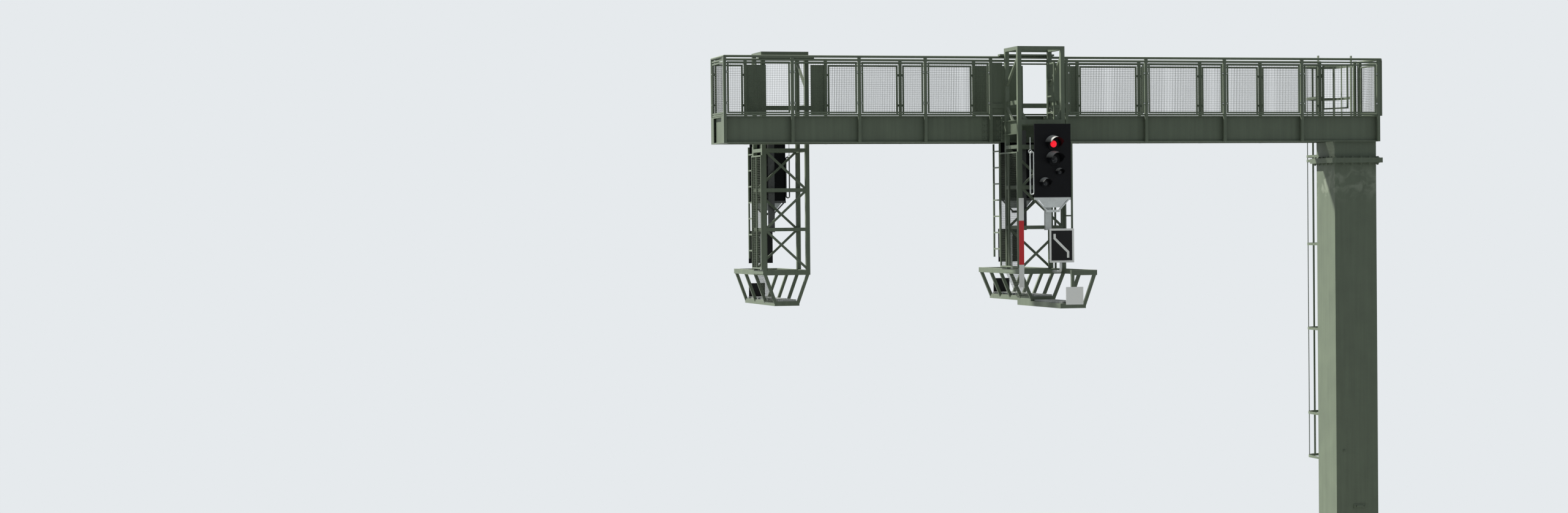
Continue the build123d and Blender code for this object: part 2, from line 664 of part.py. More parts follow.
# Column head above the splice
with BuildPart() as column_head:
    with BuildSketch(Plane.XY.offset(SPLICE_HEIGHT)):
        Rectangle(COLUMN_WIDTH + 2 * SPLICE_OVERHANG_X, COLUMN_DEPTH + 2 * SPLICE_OVERHANG_Y)
    extrude(amount=SPLICE_PLATE)
    with BuildSketch(Plane.XY.offset(splice_top)):
        Rectangle(COLUMN_WIDTH, COLUMN_DEPTH)
        Rectangle(COLUMN_WIDTH - 2 * COLUMN_WALL, COLUMN_DEPTH - 2 * COLUMN_WALL, mode=Mode.SUBTRACT)
    extrude(amount=BEAM_UNDERSIDE - CAP_PLATE - splice_top)
    with BuildSketch(Plane.XY.offset(BEAM_UNDERSIDE - CAP_PLATE)):
        Rectangle(COLUMN_WIDTH, COLUMN_DEPTH)
    extrude(amount=CAP_PLATE)

# Trough beam
with BuildPart() as front_girder:
    long_girder(-1, front_posts)

with BuildPart() as rear_girder:
    long_girder(1, rear_posts)

with BuildPart() as tip_girder:
    cross_girder(tip, 1)

with BuildPart() as end_girder:
    cross_girder(BEAM_END, -1)

ledges = [tip + WEB_SET_BACK + GIRDER_WEB + CROSS_BEAM_WIDTH / 2]
ledges += sorted(front_posts)[:-1]
ledges += [BEAM_END - WEB_SET_BACK - GIRDER_WEB - CROSS_BEAM_WIDTH / 2]
with BuildPart() as cross_beams:
    for x in ledges:
        low = deck_bottom - CROSS_BEAM_HEIGHT
        width = around(x, CROSS_BEAM_WIDTH)
        block(width, (-web_inside, web_inside), (low, low + CROSS_BEAM_PLATE))
        block(width, (-web_inside, web_inside), (deck_bottom - CROSS_BEAM_PLATE, deck_bottom))
        web = (low + CROSS_BEAM_PLATE, deck_bottom - CROSS_BEAM_PLATE)
        block(around(x, CROSS_BEAM_PLATE), (-web_inside, web_inside), web)

with BuildPart() as walkway_deck:
    for start, end in zip(ledges[:-1], ledges[1:]):
        low = start + DECK_GAP / 2 if start > ledges[0] else start - CROSS_BEAM_WIDTH / 2 + DECK_GAP
        high = end - DECK_GAP / 2 if end < ledges[-1] else end + CROSS_BEAM_WIDTH / 2 - DECK_GAP
        block((low, high), (DECK_GAP - web_inside, web_inside - DECK_GAP), (deck_bottom, deck_top))

# Railing
with BuildPart() as front_railing:
    tube_x((tip + POST, BEAM_END), -rail_y, rail_axis, RAIL_TUBE)
    side_rails(-1, tip + POST, end_post)
    for x in front_posts:
        side_post(x, -1)
    knee_rail(-1, left_posts[0], right_posts[-1])

with BuildPart() as rear_railing:
    tube_x((tip + POST, GATE_POST_X + POST / 2), rail_y, rail_axis, RAIL_TUBE)
    tube_x((end_post - POST / 2, BEAM_END), rail_y, rail_axis, RAIL_TUBE)
    side_rails(1, tip + POST, GATE_POST_X)
    for x in rear_posts:
        side_post(x, 1)
    knee_rail(1, rear_posts[-1], rear_posts[-2])
    for level in GATE_HINGE_LEVELS:
        z = (level - GATE_BRACKET, level - SEAT_GAP)
        block((GATE_POST_X + POST / 2, hinge_x), around(hinge_y, GATE_BRACKET), z)
        with BuildSketch(Plane(origin=(hinge_x, hinge_y, level - GATE_BRACKET))) as pin:
            Circle(GATE_BRACKET / 2)
        extrude(pin.sketch, amount=GATE_BRACKET - SEAT_GAP)
        with BuildSketch(Plane(origin=(hinge_x, hinge_y, level - GATE_BRACKET))) as pin:
            Circle(GATE_PIN / 2)
        extrude(pin.sketch, amount=GATE_BRACKET + GATE_BARREL_LENGTH)

with BuildPart() as tip_railing:
    corner_x = tip + RAIL_TUBE / 2
    with BuildLine() as route:
        inner = tip + POST
        points = [(inner, -rail_y, rail_axis), (corner_x, -rail_y, rail_axis)]
        points += [(corner_x, rail_y, rail_axis), (inner, rail_y, rail_axis)]
        Polyline(*points)
    with BuildSketch(Plane(origin=route.line @ 0, z_dir=route.line % 0)) as section:
        Circle(RAIL_TUBE / 2)
    sweep(section.sketch, path=route.line, transition=Transition.RIGHT)
    for side in (-1, 1):
        block((tip, tip + POST), outward(side, flange_tip, half_depth), (BEAM_UNDERSIDE, post_top))
    for height in (upper_rail, lower_rail):
        block(around(corner_x, RAIL_BAR), (-flange_tip, flange_tip), height)

with BuildPart() as end_railing:
    end_x = BEAM_END + END_RAIL_REACH
    with BuildLine() as route:
        points = [(BEAM_END, -rail_y, rail_axis), (end_x, -rail_y, rail_axis)]
        points += [(end_x, rail_y, rail_axis), (BEAM_END, rail_y, rail_axis)]
        FilletPolyline(*points, radius=END_RAIL_BEND)
    with BuildSketch(Plane(origin=route.line @ 0, z_dir=route.line % 0)) as section:
        RegularPolygon(RAIL_TUBE / 2, TUBE_SIDES)
    sweep(section.sketch, path=route.line)
    for side in (-1, 1):
        depth = outward(side, flange_tip - END_POST_DEPTH, flange_tip)
        foot = girder_top + FOOT_PLATE
        block(around(end_x, POST), depth, (foot, post_top))
        block((end_x + POST / 2 - FOOT_LENGTH, end_x + POST / 2), depth, (girder_top, foot))
    reach = flange_tip - END_POST_DEPTH
    block(around(end_x, RAIL_BAR), (-reach, reach), upper_rail)
    block(around(end_x, RAIL_BAR), (-reach, reach), lower_rail)

with BuildPart() as front_mesh_panels:
    spans = list(zip(right_posts[1:], right_posts[:-1])) + list(zip(left_posts[1:], left_posts[:-1]))
    for start, end in spans:
        panel_along(-1, start, end)

with BuildPart() as rear_mesh_panels:
    spans = list(zip(rear_right_posts[1:], rear_right_posts[:-1])) + [(tip_post, rear_tip_post)]
    spans += list(zip(rear_left_posts[1:], rear_left_posts[:-1]))
    for start, end in spans:
        panel_along(1, start, end)

with BuildPart() as end_mesh_panels:
    panel_across(corner_x, flange_tip)
    panel_across(end_x, flange_tip - END_POST_DEPTH)

with BuildPart() as front_cover_panels:
    cover(-1, left_posts[0] + POST / 2, RIGHT_CAGE_X - CAGE_WIDTH / 2)
    cover(-1, RIGHT_CAGE_X + CAGE_WIDTH / 2, right_posts[-1] - POST / 2)

with BuildPart() as rear_cover_panels:
    cover(1, left_posts[0] + POST / 2, REAR_OPENING[0])
    cover(1, REAR_OPENING[1] + POST / 2, rear_right_posts[-1] - POST / 2)
    cover(1, rear_tip_post + POST / 2, LEFT_OPENING[0])
    cover(1, LEFT_OPENING[1], rear_left_posts[-1] - POST / 2)

# Ladder up the column: stiles, rungs and the brackets that hold it
stile_x = (LADDER_WIDTH - LADDER_STILE_THICKNESS) / 2
walk_x = (WALK_THROUGH - LADDER_STILE_THICKNESS) / 2
stile_y = around(ladder_y, LADDER_STILE_DEPTH)
with BuildPart() as column_ladder:
    for turn in (-1, 1):
        x = around(LADDER_CENTRE + turn * stile_x, LADDER_STILE_THICKNESS)
        block(x, stile_y, (LADDER_FOOT - RUNG_PITCH / 2, LADDER_HEAD))
        walk = around(LADDER_CENTRE + turn * walk_x, LADDER_STILE_THICKNESS)
        block(walk, stile_y, (WALK_FOOT, WALK_TOP))
        gap = (min(x[1], walk[1]), max(x[0], walk[0]))
        for level in (WALK_FOOT + RUNG_PITCH / 2, LADDER_HEAD - RUNG_PITCH / 2):
            block(gap, stile_y, around(level, STRAP_WIDTH))

with BuildPart() as ladder_rungs:
    width = around(LADDER_CENTRE, LADDER_WIDTH - 2 * LADDER_STILE_THICKNESS)
    for i in range(int((LADDER_HEAD - LADDER_FOOT) // RUNG_PITCH)):
        block(width, around(ladder_y, RUNG), around(LADDER_FOOT + i * RUNG_PITCH, RUNG))

with BuildPart() as ladder_brackets:
    for turn in (-1, 1):
        x = around(LADDER_CENTRE + turn * stile_x, LADDER_STILE_THICKNESS)
        for level in range(LADDER_FOOT + RUNG_PITCH, int(splice_bottom), WALL_BRACKET_PITCH):
            block(x, (COLUMN_DEPTH / 2, stile_y[0]), around(level, STRAP_WIDTH))
        walk = around(LADDER_CENTRE + turn * walk_x, LADDER_STILE_THICKNESS)
        for level in (BEAM_UNDERSIDE + GIRDER_HEIGHT / 2, girder_top, upper_rail[0]):
            block(walk, (half_depth, stile_y[0]), around(level, STRAP_WIDTH))

with BuildPart() as ladder_hoops:
    levels = list(HOOP_LEVELS)
    while levels[-1] - HOOP_PITCH > HOOP_FOOT + HOOP_GAP:
        levels.append(levels[-1] - HOOP_PITCH)
    levels.append(HOOP_FOOT)
    back = ladder_y + LADDER_STILE_DEPTH / 2 + HOOP_THICKNESS / 2
    far = back + HOOP_SIDE
    for level in levels:
        root = WALK_THROUGH / 2 if level > LADDER_HEAD else LADDER_WIDTH / 2
        with BuildSketch(Plane.XY.offset(level - HOOP_BAND / 2)) as hoop:
            with BuildLine() as route:
                left = LADDER_CENTRE - HOOP_RADIUS
                right = LADDER_CENTRE + HOOP_RADIUS
                Polyline((LADDER_CENTRE - root + LADDER_STILE_THICKNESS, back), (left, back), (left, far))
                ThreePointArc((left, far), (LADDER_CENTRE, far + HOOP_RADIUS), (right, far))
                Polyline((right, far), (right, back), (LADDER_CENTRE + root - LADDER_STILE_THICKNESS, back))
            trace(line_width=HOOP_THICKNESS)
        extrude(hoop.sketch, amount=HOOP_BAND)
    strap_radius = HOOP_RADIUS - HOOP_THICKNESS + STRAP_LAP
    strap_z = (levels[-1] - HOOP_BAND / 2, levels[0] + HOOP_BAND / 2)
    with BuildSketch(Plane.XY.offset(strap_z[0])) as straps:
        with Locations((LADDER_CENTRE, far)):
            with PolarLocations(strap_radius, STRAPS, start_angle=0, angular_range=180):
                Rectangle(HOOP_THICKNESS, STRAP_WIDTH)
    extrude(straps.sketch, amount=strap_z[1] - strap_z[0])

# Gate at the head of the ladder
gate_plane = Plane(Location((hinge_x, hinge_y, 0), (0, 0, -GATE_ANGLE)))
with BuildPart() as ladder_gate:
    leaf_start = GATE_BARREL / 2 + GATE_LEAF_GAP
    leaf = (leaf_start, GATE_WIDTH)
    thickness = around(0, GATE_BAR)
    with Locations(gate_plane.location):
        block((leaf[0], leaf[0] + GATE_BAR), thickness, (GATE_BOTTOM, GATE_TOP))
        block((leaf[1] - GATE_BAR, leaf[1]), thickness, (GATE_BOTTOM, GATE_TOP))
        block(leaf, thickness, (GATE_BOTTOM, GATE_BOTTOM + GATE_BAR))
        block(leaf, thickness, (GATE_TOP - GATE_BAR, GATE_TOP))
        for level in GATE_HINGE_LEVELS:
            with Locations((0, 0, level + GATE_BARREL_LENGTH / 2)):
                Cylinder(GATE_BARREL / 2, GATE_BARREL_LENGTH)
            block((0, leaf[0]), around(0, GATE_BRACKET), (level, level + GATE_BARREL_LENGTH))
            with Locations((0, 0, level + GATE_BARREL_LENGTH / 2)):
                bore = GATE_PIN / 2 + GATE_PIN_CLEARANCE / 2
                Cylinder(bore, GATE_BARREL_LENGTH, mode=Mode.SUBTRACT)

# Right cage, in front of the beam
with BuildPart() as right_cage_frame:
    cage_frame(RIGHT_CAGE_X, -1)

with BuildPart() as right_cage_brackets:
    cage_brackets(RIGHT_CAGE_X, -1)

right_mesh_near = cage_near - RIGHT_MESH_REACH
with BuildPart() as right_cage_mesh:
    cage_mesh(RIGHT_CAGE_X, -1, right_mesh_near)

inner_near = cage_near + LEG + DECK_GAP
inner_reach = (inner_near, inner_near + CAGE_LADDER_WIDTH)
cage_inside = CAGE_WIDTH / 2 - LEG
under_beam = (right_mesh_near - CAGE_LADDER_WIDTH, right_mesh_near)
beside = (cage_far, cage_far + CAGE_LADDER_WIDTH)
ladder_z = (CAGE_LADDER_FOOT, CAGE_LADDER_TOP)
with BuildPart() as right_cage_ladders:
    ladder_yz(RIGHT_CAGE_X + cage_inside - STILE, outward(-1, *inner_reach), (BASKET_TOP, INNER_LADDER_TOP))
    ladder_yz(RIGHT_CAGE_X - CAGE_WIDTH / 2 - STILE, outward(-1, *under_beam), ladder_z)
    ladder_yz(RIGHT_CAGE_X + CAGE_WIDTH / 2 - STILE, outward(-1, *beside), ladder_z)

right_planes = ((-cage_far, -cage_far + BASKET_BAR), (-cage_near - BASKET_BAR, -cage_near))
right_planes += ((RIGHT_BASKET_END - BASKET_BAR, RIGHT_BASKET_END),)
with BuildPart() as right_basket:
    basket(RIGHT_CAGE_X, -cage_far, RIGHT_BASKET_END, RIGHT_FLOOR, RIGHT_BASKET_BAYS, right_planes)

with BuildPart() as right_basket_front:
    low_floor = RIGHT_FLOOR - BASKET_BOTTOM_HEIGHT
    top_height = (BASKET_TOP - BASKET_TOP_HEIGHT, BASKET_TOP)
    start = FRONT_BASKET_END
    outer = RIGHT_CAGE_X + CAGE_WIDTH / 2
    block((outer - BASKET_BAR, outer), (start, -cage_far), top_height)
    block((RIGHT_CAGE_X - BASKET_RAIL / 2, outer), (start, start + BASKET_BAR), top_height)
    upright = around(RIGHT_CAGE_X, BASKET_RAIL)
    block(upright, (start, start + BASKET_RAIL), (low_floor, BASKET_TOP))
    middle_station = (start - cage_far) / 2
    for y in (start + BASKET_LEG / 2, middle_station):
        basket_legs(RIGHT_CAGE_X, y, low_floor, (1,))
    stations = (start + BASKET_RAIL / 2, middle_station, -cage_far - BASKET_RAIL / 2)
    basket_bottom(RIGHT_CAGE_X, (start, FRONT_LAP_END), low_floor, stations)

with BuildPart() as right_basket_floor:
    basket_floor(RIGHT_CAGE_X, -cage_far, RIGHT_BASKET_END, RIGHT_FLOOR)
    basket_floor(RIGHT_CAGE_X, FRONT_BASKET_END + BASKET_BAR, -cage_far - DECK_GAP, low_floor)

# Left cage, behind the beam
with BuildPart() as left_cage_frame:
    cage_frame(LEFT_CAGE_X, 1)

with BuildPart() as left_cage_brackets:
    cage_brackets(LEFT_CAGE_X, 1)

with BuildPart() as left_cage_mesh:
    cage_mesh(LEFT_CAGE_X, 1, cage_near)

with BuildPart() as left_cage_ladders:
    ladder_yz(LEFT_CAGE_X - cage_inside, outward(1, *inner_reach), (BASKET_TOP, INNER_LADDER_TOP))
    ladder_yz(LEFT_CAGE_X - CAGE_WIDTH / 2, outward(1, *beside), ladder_z)

left_planes = ((cage_near, cage_near + BASKET_BAR), (cage_far - BASKET_BAR, cage_far))
left_planes += ((LEFT_BASKET_END - BASKET_BAR, LEFT_BASKET_END),)
with BuildPart() as left_basket:
    basket(LEFT_CAGE_X, cage_near, LEFT_BASKET_END, LEFT_FLOOR, LEFT_BASKET_BAYS, left_planes)

with BuildPart() as left_basket_floor:
    basket_floor(LEFT_CAGE_X, cage_near, LEFT_BASKET_END, LEFT_FLOOR)

# Signals and signs
with BuildPart() as front_signal:
    with Locations(front_place):
        signal_head(hoods)

with BuildPart() as rear_signal:
    with Locations(rear_place):
        signal_head(hoods)

with BuildPart() as left_signal:
    with Locations(left_place):
        signal_head(hoods)

with BuildPart() as support_pattern:
    signal_support()

with BuildPart() as pipe_pattern:
    indicator_pipe()

with BuildPart() as signal_supports:
    with Locations(front_place, rear_place, left_place):
        add(support_pattern.part)

with BuildPart() as indicator_pipes:
    with Locations(front_place, rear_place, left_place):
        add(pipe_pattern.part)

with BuildPart() as indicator_signs:
    with Locations(front_place, rear_place, left_place):
        indicator_sign()

with BuildPart() as mast_plate:
    x = RIGHT_CAGE_X - CAGE_WIDTH / 2
    depth = (-cage_far - PLATE_SHEET, -cage_far)
    block((x, x + MAST_PLATE_WIDTH), depth, (MAST_PLATE_BOTTOM, MAST_PLATE_TOP))

with BuildPart() as number_plates:
    low = low_floor - NUMBER_LAP
    middle = RIGHT_CAGE_X + BASKET_RAIL / 2
    block(around(middle, NUMBER_WIDTH), (start - PLATE_SHEET, start), (low, low + NUMBER_HEIGHT))
    low = RIGHT_FLOOR - NUMBER_LAP
    end = RIGHT_BASKET_END
    block(around(RIGHT_CAGE_X, NUMBER_WIDTH), (end, end + PLATE_SHEET), (low, low + NUMBER_HEIGHT))
    low = LEFT_FLOOR - NUMBER_LAP
    end = LEFT_BASKET_END
    block(around(LEFT_CAGE_X, NUMBER_WIDTH), (end, end + PLATE_SHEET), (low, low + NUMBER_HEIGHT))

pieces = {
    "base_plate": base_plate,
    "column_shaft": column_shaft,
    "shaft_flange": shaft_flange,
    "column_head": column_head,
    "front_girder": front_girder,
    "rear_girder": rear_girder,
    "tip_girder": tip_girder,
    "end_girder": end_girder,
    "cross_beams": cross_beams,
    "walkway_deck": walkway_deck,
    "front_railing": front_railing,
    "rear_railing": rear_railing,
    "tip_railing": tip_railing,
    "end_railing": end_railing,
    "front_mesh_panels": front_mesh_panels,
    "rear_mesh_panels": rear_mesh_panels,
    "end_mesh_panels": end_mesh_panels,
    "front_cover_panels": front_cover_panels,
    "rear_cover_panels": rear_cover_panels,
    "column_ladder": column_ladder,
    "ladder_rungs": ladder_rungs,
    "ladder_brackets": ladder_brackets,
    "ladder_hoops": ladder_hoops,
    "ladder_gate": ladder_gate,
    "right_cage_frame": right_cage_frame,
    "right_cage_brackets": right_cage_brackets,
    "right_cage_mesh": right_cage_mesh,
    "right_cage_ladders": right_cage_ladders,
    "right_basket": right_basket,
    "right_basket_front": right_basket_front,
    "right_basket_floor": right_basket_floor,
    "left_cage_frame": left_cage_frame,
    "left_cage_brackets": left_cage_brackets,
    "left_cage_mesh": left_cage_mesh,
    "left_cage_ladders": left_cage_ladders,
    "left_basket": left_basket,
    "left_basket_floor": left_basket_floor,
    "front_signal": front_signal,
    "rear_signal": rear_signal,
    "left_signal": left_signal,
    "signal_supports": signal_supports,
    "indicator_signs": indicator_signs,
    "indicator_pipes": indicator_pipes,
    "mast_plate": mast_plate,
    "number_plates": number_plates,
}

os.makedirs("parts", exist_ok=True)
for label, piece in pieces.items():
    piece.part.label = label
    export_step(piece.part, f"parts/{label}.step")
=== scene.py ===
import math

import bpy
import numpy as np
from bpy.props import FloatProperty, FloatVectorProperty, PointerProperty
from mathutils import Matrix, Vector


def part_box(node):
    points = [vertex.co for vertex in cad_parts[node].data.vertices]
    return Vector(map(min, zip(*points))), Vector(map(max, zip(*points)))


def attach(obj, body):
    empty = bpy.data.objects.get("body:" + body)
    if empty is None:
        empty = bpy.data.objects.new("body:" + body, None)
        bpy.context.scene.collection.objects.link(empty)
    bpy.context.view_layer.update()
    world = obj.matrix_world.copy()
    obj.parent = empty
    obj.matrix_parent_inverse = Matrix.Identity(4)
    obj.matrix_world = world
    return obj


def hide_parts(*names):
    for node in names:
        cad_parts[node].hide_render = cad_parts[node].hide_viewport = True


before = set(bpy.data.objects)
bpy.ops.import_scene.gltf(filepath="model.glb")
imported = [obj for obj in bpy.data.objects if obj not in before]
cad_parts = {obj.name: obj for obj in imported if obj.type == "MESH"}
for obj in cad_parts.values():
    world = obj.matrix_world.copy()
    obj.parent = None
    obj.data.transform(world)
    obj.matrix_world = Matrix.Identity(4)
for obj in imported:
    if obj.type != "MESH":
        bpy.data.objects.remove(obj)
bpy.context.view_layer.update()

bl_info = {
    "name": "Railway signal gantry",
    "version": (1, 0, 0),
    "blender": (4, 5, 0),
    "location": "View3D > Sidebar > Gantry",
    "description": "Wire mesh, gratings, bolts, lamps and finishes of a railway signal gantry",
    "category": "Add Mesh",
}

# Places and sizes are in metres, in the gantry's own frame: X along the beam, Y to the rear, Z up.

# Beam: its railings and their sides, the middle of a railing, the tip of the girders' flanges and the
# outer face of their webs in y, and the girders' top
RAILINGS = (("front", -1), ("rear", 1))
RAILING_Y = 0.479
FLANGE_TIP = 0.45
WEB_FACE = 0.41
GIRDER_TOP = 8.705

# Frames of the railing's mesh
PANEL_LOW, PANEL_TOP = 8.746, 9.618
PANEL_BAR = 0.026
# Mesh across the ends of the beam: name, x and half the clear width of its frame
END_SHEETS = (("tip", -11.508, 0.406), ("end", 0.465, 0.326))
# Bolts of the frames' brackets in parts of a frame's height, and their x, y and direction on the ends
BRACKET_SHARES = np.array((0.2, 0.8))
END_BRACKETS = ((-11.5175, 0.441, -1), (0.478, 0.361, 1))
# Bolts in the feet of the end railing: x, y and height over the girders
END_FEET = (0.36, 0.41, 0.012)

# Cages: middle in x and side of the beam; near and far face in y; half their width; the middle of a leg
# in x from theirs, and its thickness
RIGHT_CAGE, LEFT_CAGE = -6.2, -10.2
CAGES = ((RIGHT_CAGE, -1), (LEFT_CAGE, 1))
CAGE_NEAR, CAGE_FAR = 0.58, 1.3
CAGE_HALF = 0.42
LEG_X = 0.385
LEG = 0.07
# Mesh on one side of each cage: name, near edge in y, and z of the foot of its basket's slope
CAGE_SHEETS = (("right", 0.36, 5.60), ("left", CAGE_NEAR, 5.53))
# Upright sheet: x from the cage's middle, gap to its frame, lower edge and height
SHEET_X, SHEET_GAP = -0.4325, 0.01
SHEET_LOW, SHEET_RISE = 6.12, 1.94
# Sloped sheet: x of its top and foot from the cage's middle, and z of its top
SLOPE_X = (-0.424, -0.226)
SLOPE_TOP = 6.02
# The two floors of the right basket: y and z of the low and the high corner
RIGHT_FLOORS = (((-2.74, 5.54), (-1.306, 5.57)), ((-1.3, 5.62), (0.92, 5.65)))
# Bolts that clamp a cage to the beam: x from the leg, y from the flange's tip, and z
CLAMP_X = (-0.045, 0.045)
CLAMP_FACE = 0.016
CLAMP_Z = (8.3, 8.43, 8.55, 8.66)
# Bolts in the gussets of a cage's far corners: x inside the leg, y inside the far face, and z
GUSSET_X, GUSSET_FACE = 0.025, 0.02
GUSSET_Z = (8.64, 8.69)
# Strut and side plate at each leg's x: y and z of both ends, width, depth and cut edge
CAGE_BARS = (
    ((0.62, 8.85), (0.93, 8.6), 0.04, 0.04, 0.004),
    ((0.64, 8.905), (1.24, 8.905), 0.07, 0.01, 0.001),
)

# Splice of the column: outermost bolts in x and y, their pitch, and the faces they sit on
FLANGE_X, FLANGE_Y = 0.4425, 0.4225
FLANGE_PITCH = 0.165
FLANGE_LOW, FLANGE_TOP = 7.875, 7.963

# Splice plates on the girders' webs: x, z of both ends, width, depth, and middle and face from the web
SPLICE_X = (-6.92, -6.67)
SPLICE_Z = (8.285, 8.67)
SPLICE_WIDTH, SPLICE_DEPTH = 0.096, 0.012
SPLICE_MIDDLE, SPLICE_FACE = 0.004, 0.01
# Their bolts: x from the plate's middle, and z
SPLICE_BOLT_X = 0.025
SPLICE_BOLT_Z = (8.33, 8.43, 8.53, 8.63)

# Bracket on the column: x of both ends, distance of the middle from the column, height and depth
COLUMN_FRONT = -0.375
COLUMN_PLATES = ((-0.077, 0.147, 0.006, 0.084, 0.016), (-0.03, 0.1, 0.024, 0.03, 0.024))
COLUMN_BOLT_X, COLUMN_BOLT_FACE = (-0.055, 0.125), 0.014
COLUMN_BRACKET_Z = 1.764
# Plug on the column: x and z, and the radii and heights of its outline
PLUG_X, PLUG_Z = -0.254, 2.761
PLUG_RADII = (0.02, 0.02, 0.017, 0.008, 0.008)
PLUG_HEIGHTS = (-0.002, 0.012, 0.016, 0.016, 0.03)

# The three signals: x and y of the cage face that carries each, and 1 or -1 for its turn
SIGNALS = ((RIGHT_CAGE, -CAGE_FAR, 1), (RIGHT_CAGE, -CAGE_NEAR, -1), (LEFT_CAGE, CAGE_FAR, -1))
SIGNAL_NAMES = ("front", "rear", "left")
SCREEN_REACH = 0.35
# Lamps of a signal: x and z of the axis, and inner radius of the hood
LAMPS = (
    (0.0828, 8.1861, 0.11),
    (0.0956, 7.9253, 0.11),
    (0.1916, 7.7102, 0.055),
    (-0.0676, 7.5248, 0.075),
)
# Lens and bezel in parts of the hood's radius: the lens bulges and has fine rings and a small flat tip.
# LENS_SEAT is what it stands off the screen, in metres.
LENS_SHARE = 0.52
LENS_BULGE = 0.22
LENS_RINGS, RING_DEPTH = 9, 0.012
LENS_TIP, LENS_STEPS = 0.02, 50
LENS_SEAT = 0.006
BEZEL_RADII = np.array((0.99, 0.99, 0.94, LENS_SHARE + 0.05, LENS_SHARE, LENS_SHARE))
BEZEL_HEIGHTS = np.array((0, 0.14, 0.18, 0.18, 0.15, 0))
ROUND_SIDES = 48
# Top of a hood: start and end of its arc in degrees, what it stands over the hood's radius at its
# inner and outer face, in parts of that radius its rise at the screen and its length, and what it
# stands off the screen
BROW_ARC = (14, 166)
BROW_STEPS, BROW_RINGS = 25, 9
BROW_SEAT, BROW_SHEET = 0.0045, 0.006
BROW_RISE, BROW_FALL = 0.3, 1.3
BROW_LENGTH = 2.25
BROW_GAP = 0.001
# Hook at a screen's top corner: x and y, z and radius of its rod, z and radius of its ring, and its wire
HOOK_X, HOOK_Y = -0.32, -0.33
HOOK_ROD_Z, HOOK_ROD = (8.09, 8.3), 0.007
HOOK_RING_Z, HOOK_RING = 8.06, 0.03
HOOK_WIRE = 0.006
# Sheet below each screen: corners in x and z, and y of its two faces
HANGER = ((-0.21, 7.289), (0.35, 7.289), (0.21, 7.12), (-0.07, 7.12))
HANGER_Y = (-0.341, -0.3455)

# Indicators: y, span in x and z, and corners of the bent white line in x and z
SIGN_REACH = 0.46
SIGN_X = (-0.038, 0.398)
SIGN_Z = (6.195, 6.765)
BENT_LINE = ((0.054, 6.676), (0.054, 6.6), (0.291, 6.371), (0.291, 6.275))
# Width of the line in parts of the border's
LINE_SHARE = 1.2
# What is painted or stuck on a plate is a sheet of this depth, with this cut edge
FILM, FILM_EDGE = 0.002, 0.0005
# Red part of the mast plate: z of both ends, and what it is narrower than the plate
MAST_RED_Z = (6.158, 6.903)
MAST_RED_MARGIN = 0.001
# Inner face of each number plate: its middle, width and half its height
NUMBER_PLATES = ((-10.2, 2.83, 5.675), (-6.2, 0.92, 5.745), (-6.175, -2.8, 5.665))
NUMBER_WIDTH, NUMBER_HALF = 0.298, 0.144

# Cross rods of a grating: their pitch and thickness in parts of the bars'
ROD_SHARE = 1.5

# Radii and heights of the outlines of fasteners, in parts of the width across flats
WASHER = np.array(((0.95, 0.95, 0.88), (-0.05, 0.1, 0.14)))
HEAD = np.array(((0.577, 0.577, 0.49), (0.1, 0.6, 0.74)))
STUD = np.array(((0.31, 0.31, 0.25), (0.6, 1.0, 1.06)))

# Edges that bend by more degrees than this stay sharp
SHARP = 38
# Keeps a step of no length from being divided by 0
TINY = 1e-12
# A direction that is no turned shape's axis
OFF_AXIS = (0.3, 0.5, 0.8)

# Floor of the stage: middle of its underside, and radii and heights of its outline
FLOOR_AT = (-5.5, 0, -0.06)
FLOOR_RADII = (17.0, 17.0, 16.95)
FLOOR_HEIGHTS = (0, 0.05, 0.058)
# The sun: where it stands from the gantry, and its width in degrees
SUN_FROM = (-0.9, 1.0, 1.49)
SUN_WIDTH = 4
# The camera of the photo: place, lens and sensor in mm, yaw, pitch down and roll in degrees, and reach
CAMERA_AT = (-21.687, -45.768, 6.956)
CAMERA_LENS, CAMERA_SENSOR = 63.577, 36.0
CAMERA_TURNS = (13.865, 0.76, 0.538)
CAMERA_END = 500.0


# Shapes

def unit(vectors):
    """Vectors along the last axis at length 1."""
    return vectors / np.linalg.norm(vectors, axis=-1, keepdims=True)


def polygon(sides, radius):
    """Corners of a regular polygon: radius (cos a, sin a) at a = 2 pi (i + 1/2) / sides."""
    angle = 2 * np.pi * (np.arange(sides) + 0.5) / sides
    return radius * np.stack((np.cos(angle), np.sin(angle)), -1)


def plate(width, height, chamfer):
    """Corners of a rectangle about (0, 0) with its corners cut off."""
    x, y = width / 2, height / 2
    a, b = x - chamfer, y - chamfer
    return np.array(((x, -b), (x, b), (a, y), (-a, y), (-x, b), (-x, -b), (-a, -y), (a, -y)))


def inset(x0, x1, y0, y1, margin):
    """Corners of a rectangle drawn in by a margin, in order round it."""
    left, right, near, far = x0 + margin, x1 - margin, y0 + margin, y1 - margin
    return ((left, near), (right, near), (right, far), (left, far))


def lattice(x, y, z):
    """Every point with one of the given x, y and z."""
    return np.stack(np.meshgrid(x, y, z, indexing="ij"), -1).reshape(-1, 3)


def skin(rings, closed=False):
    """Surface over rings (copies, rings, around, 3): quads from ring to ring, a cap on each open end."""
    copies, length, around = rings.shape[:3]
    index = np.arange(copies * length * around).reshape(copies, length, around)
    first = index if closed else index[:, :-1]
    after = np.roll(index, -1, 1) if closed else index[:, 1:]
    quads = np.stack((first, np.roll(first, -1, 2), np.roll(after, -1, 2), after), -1).reshape(-1, 4)
    caps = np.empty((0, around), int) if closed else np.concatenate((index[:, 0, ::-1], index[:, -1]))
    return rings.reshape(-1, 3), (quads, caps)


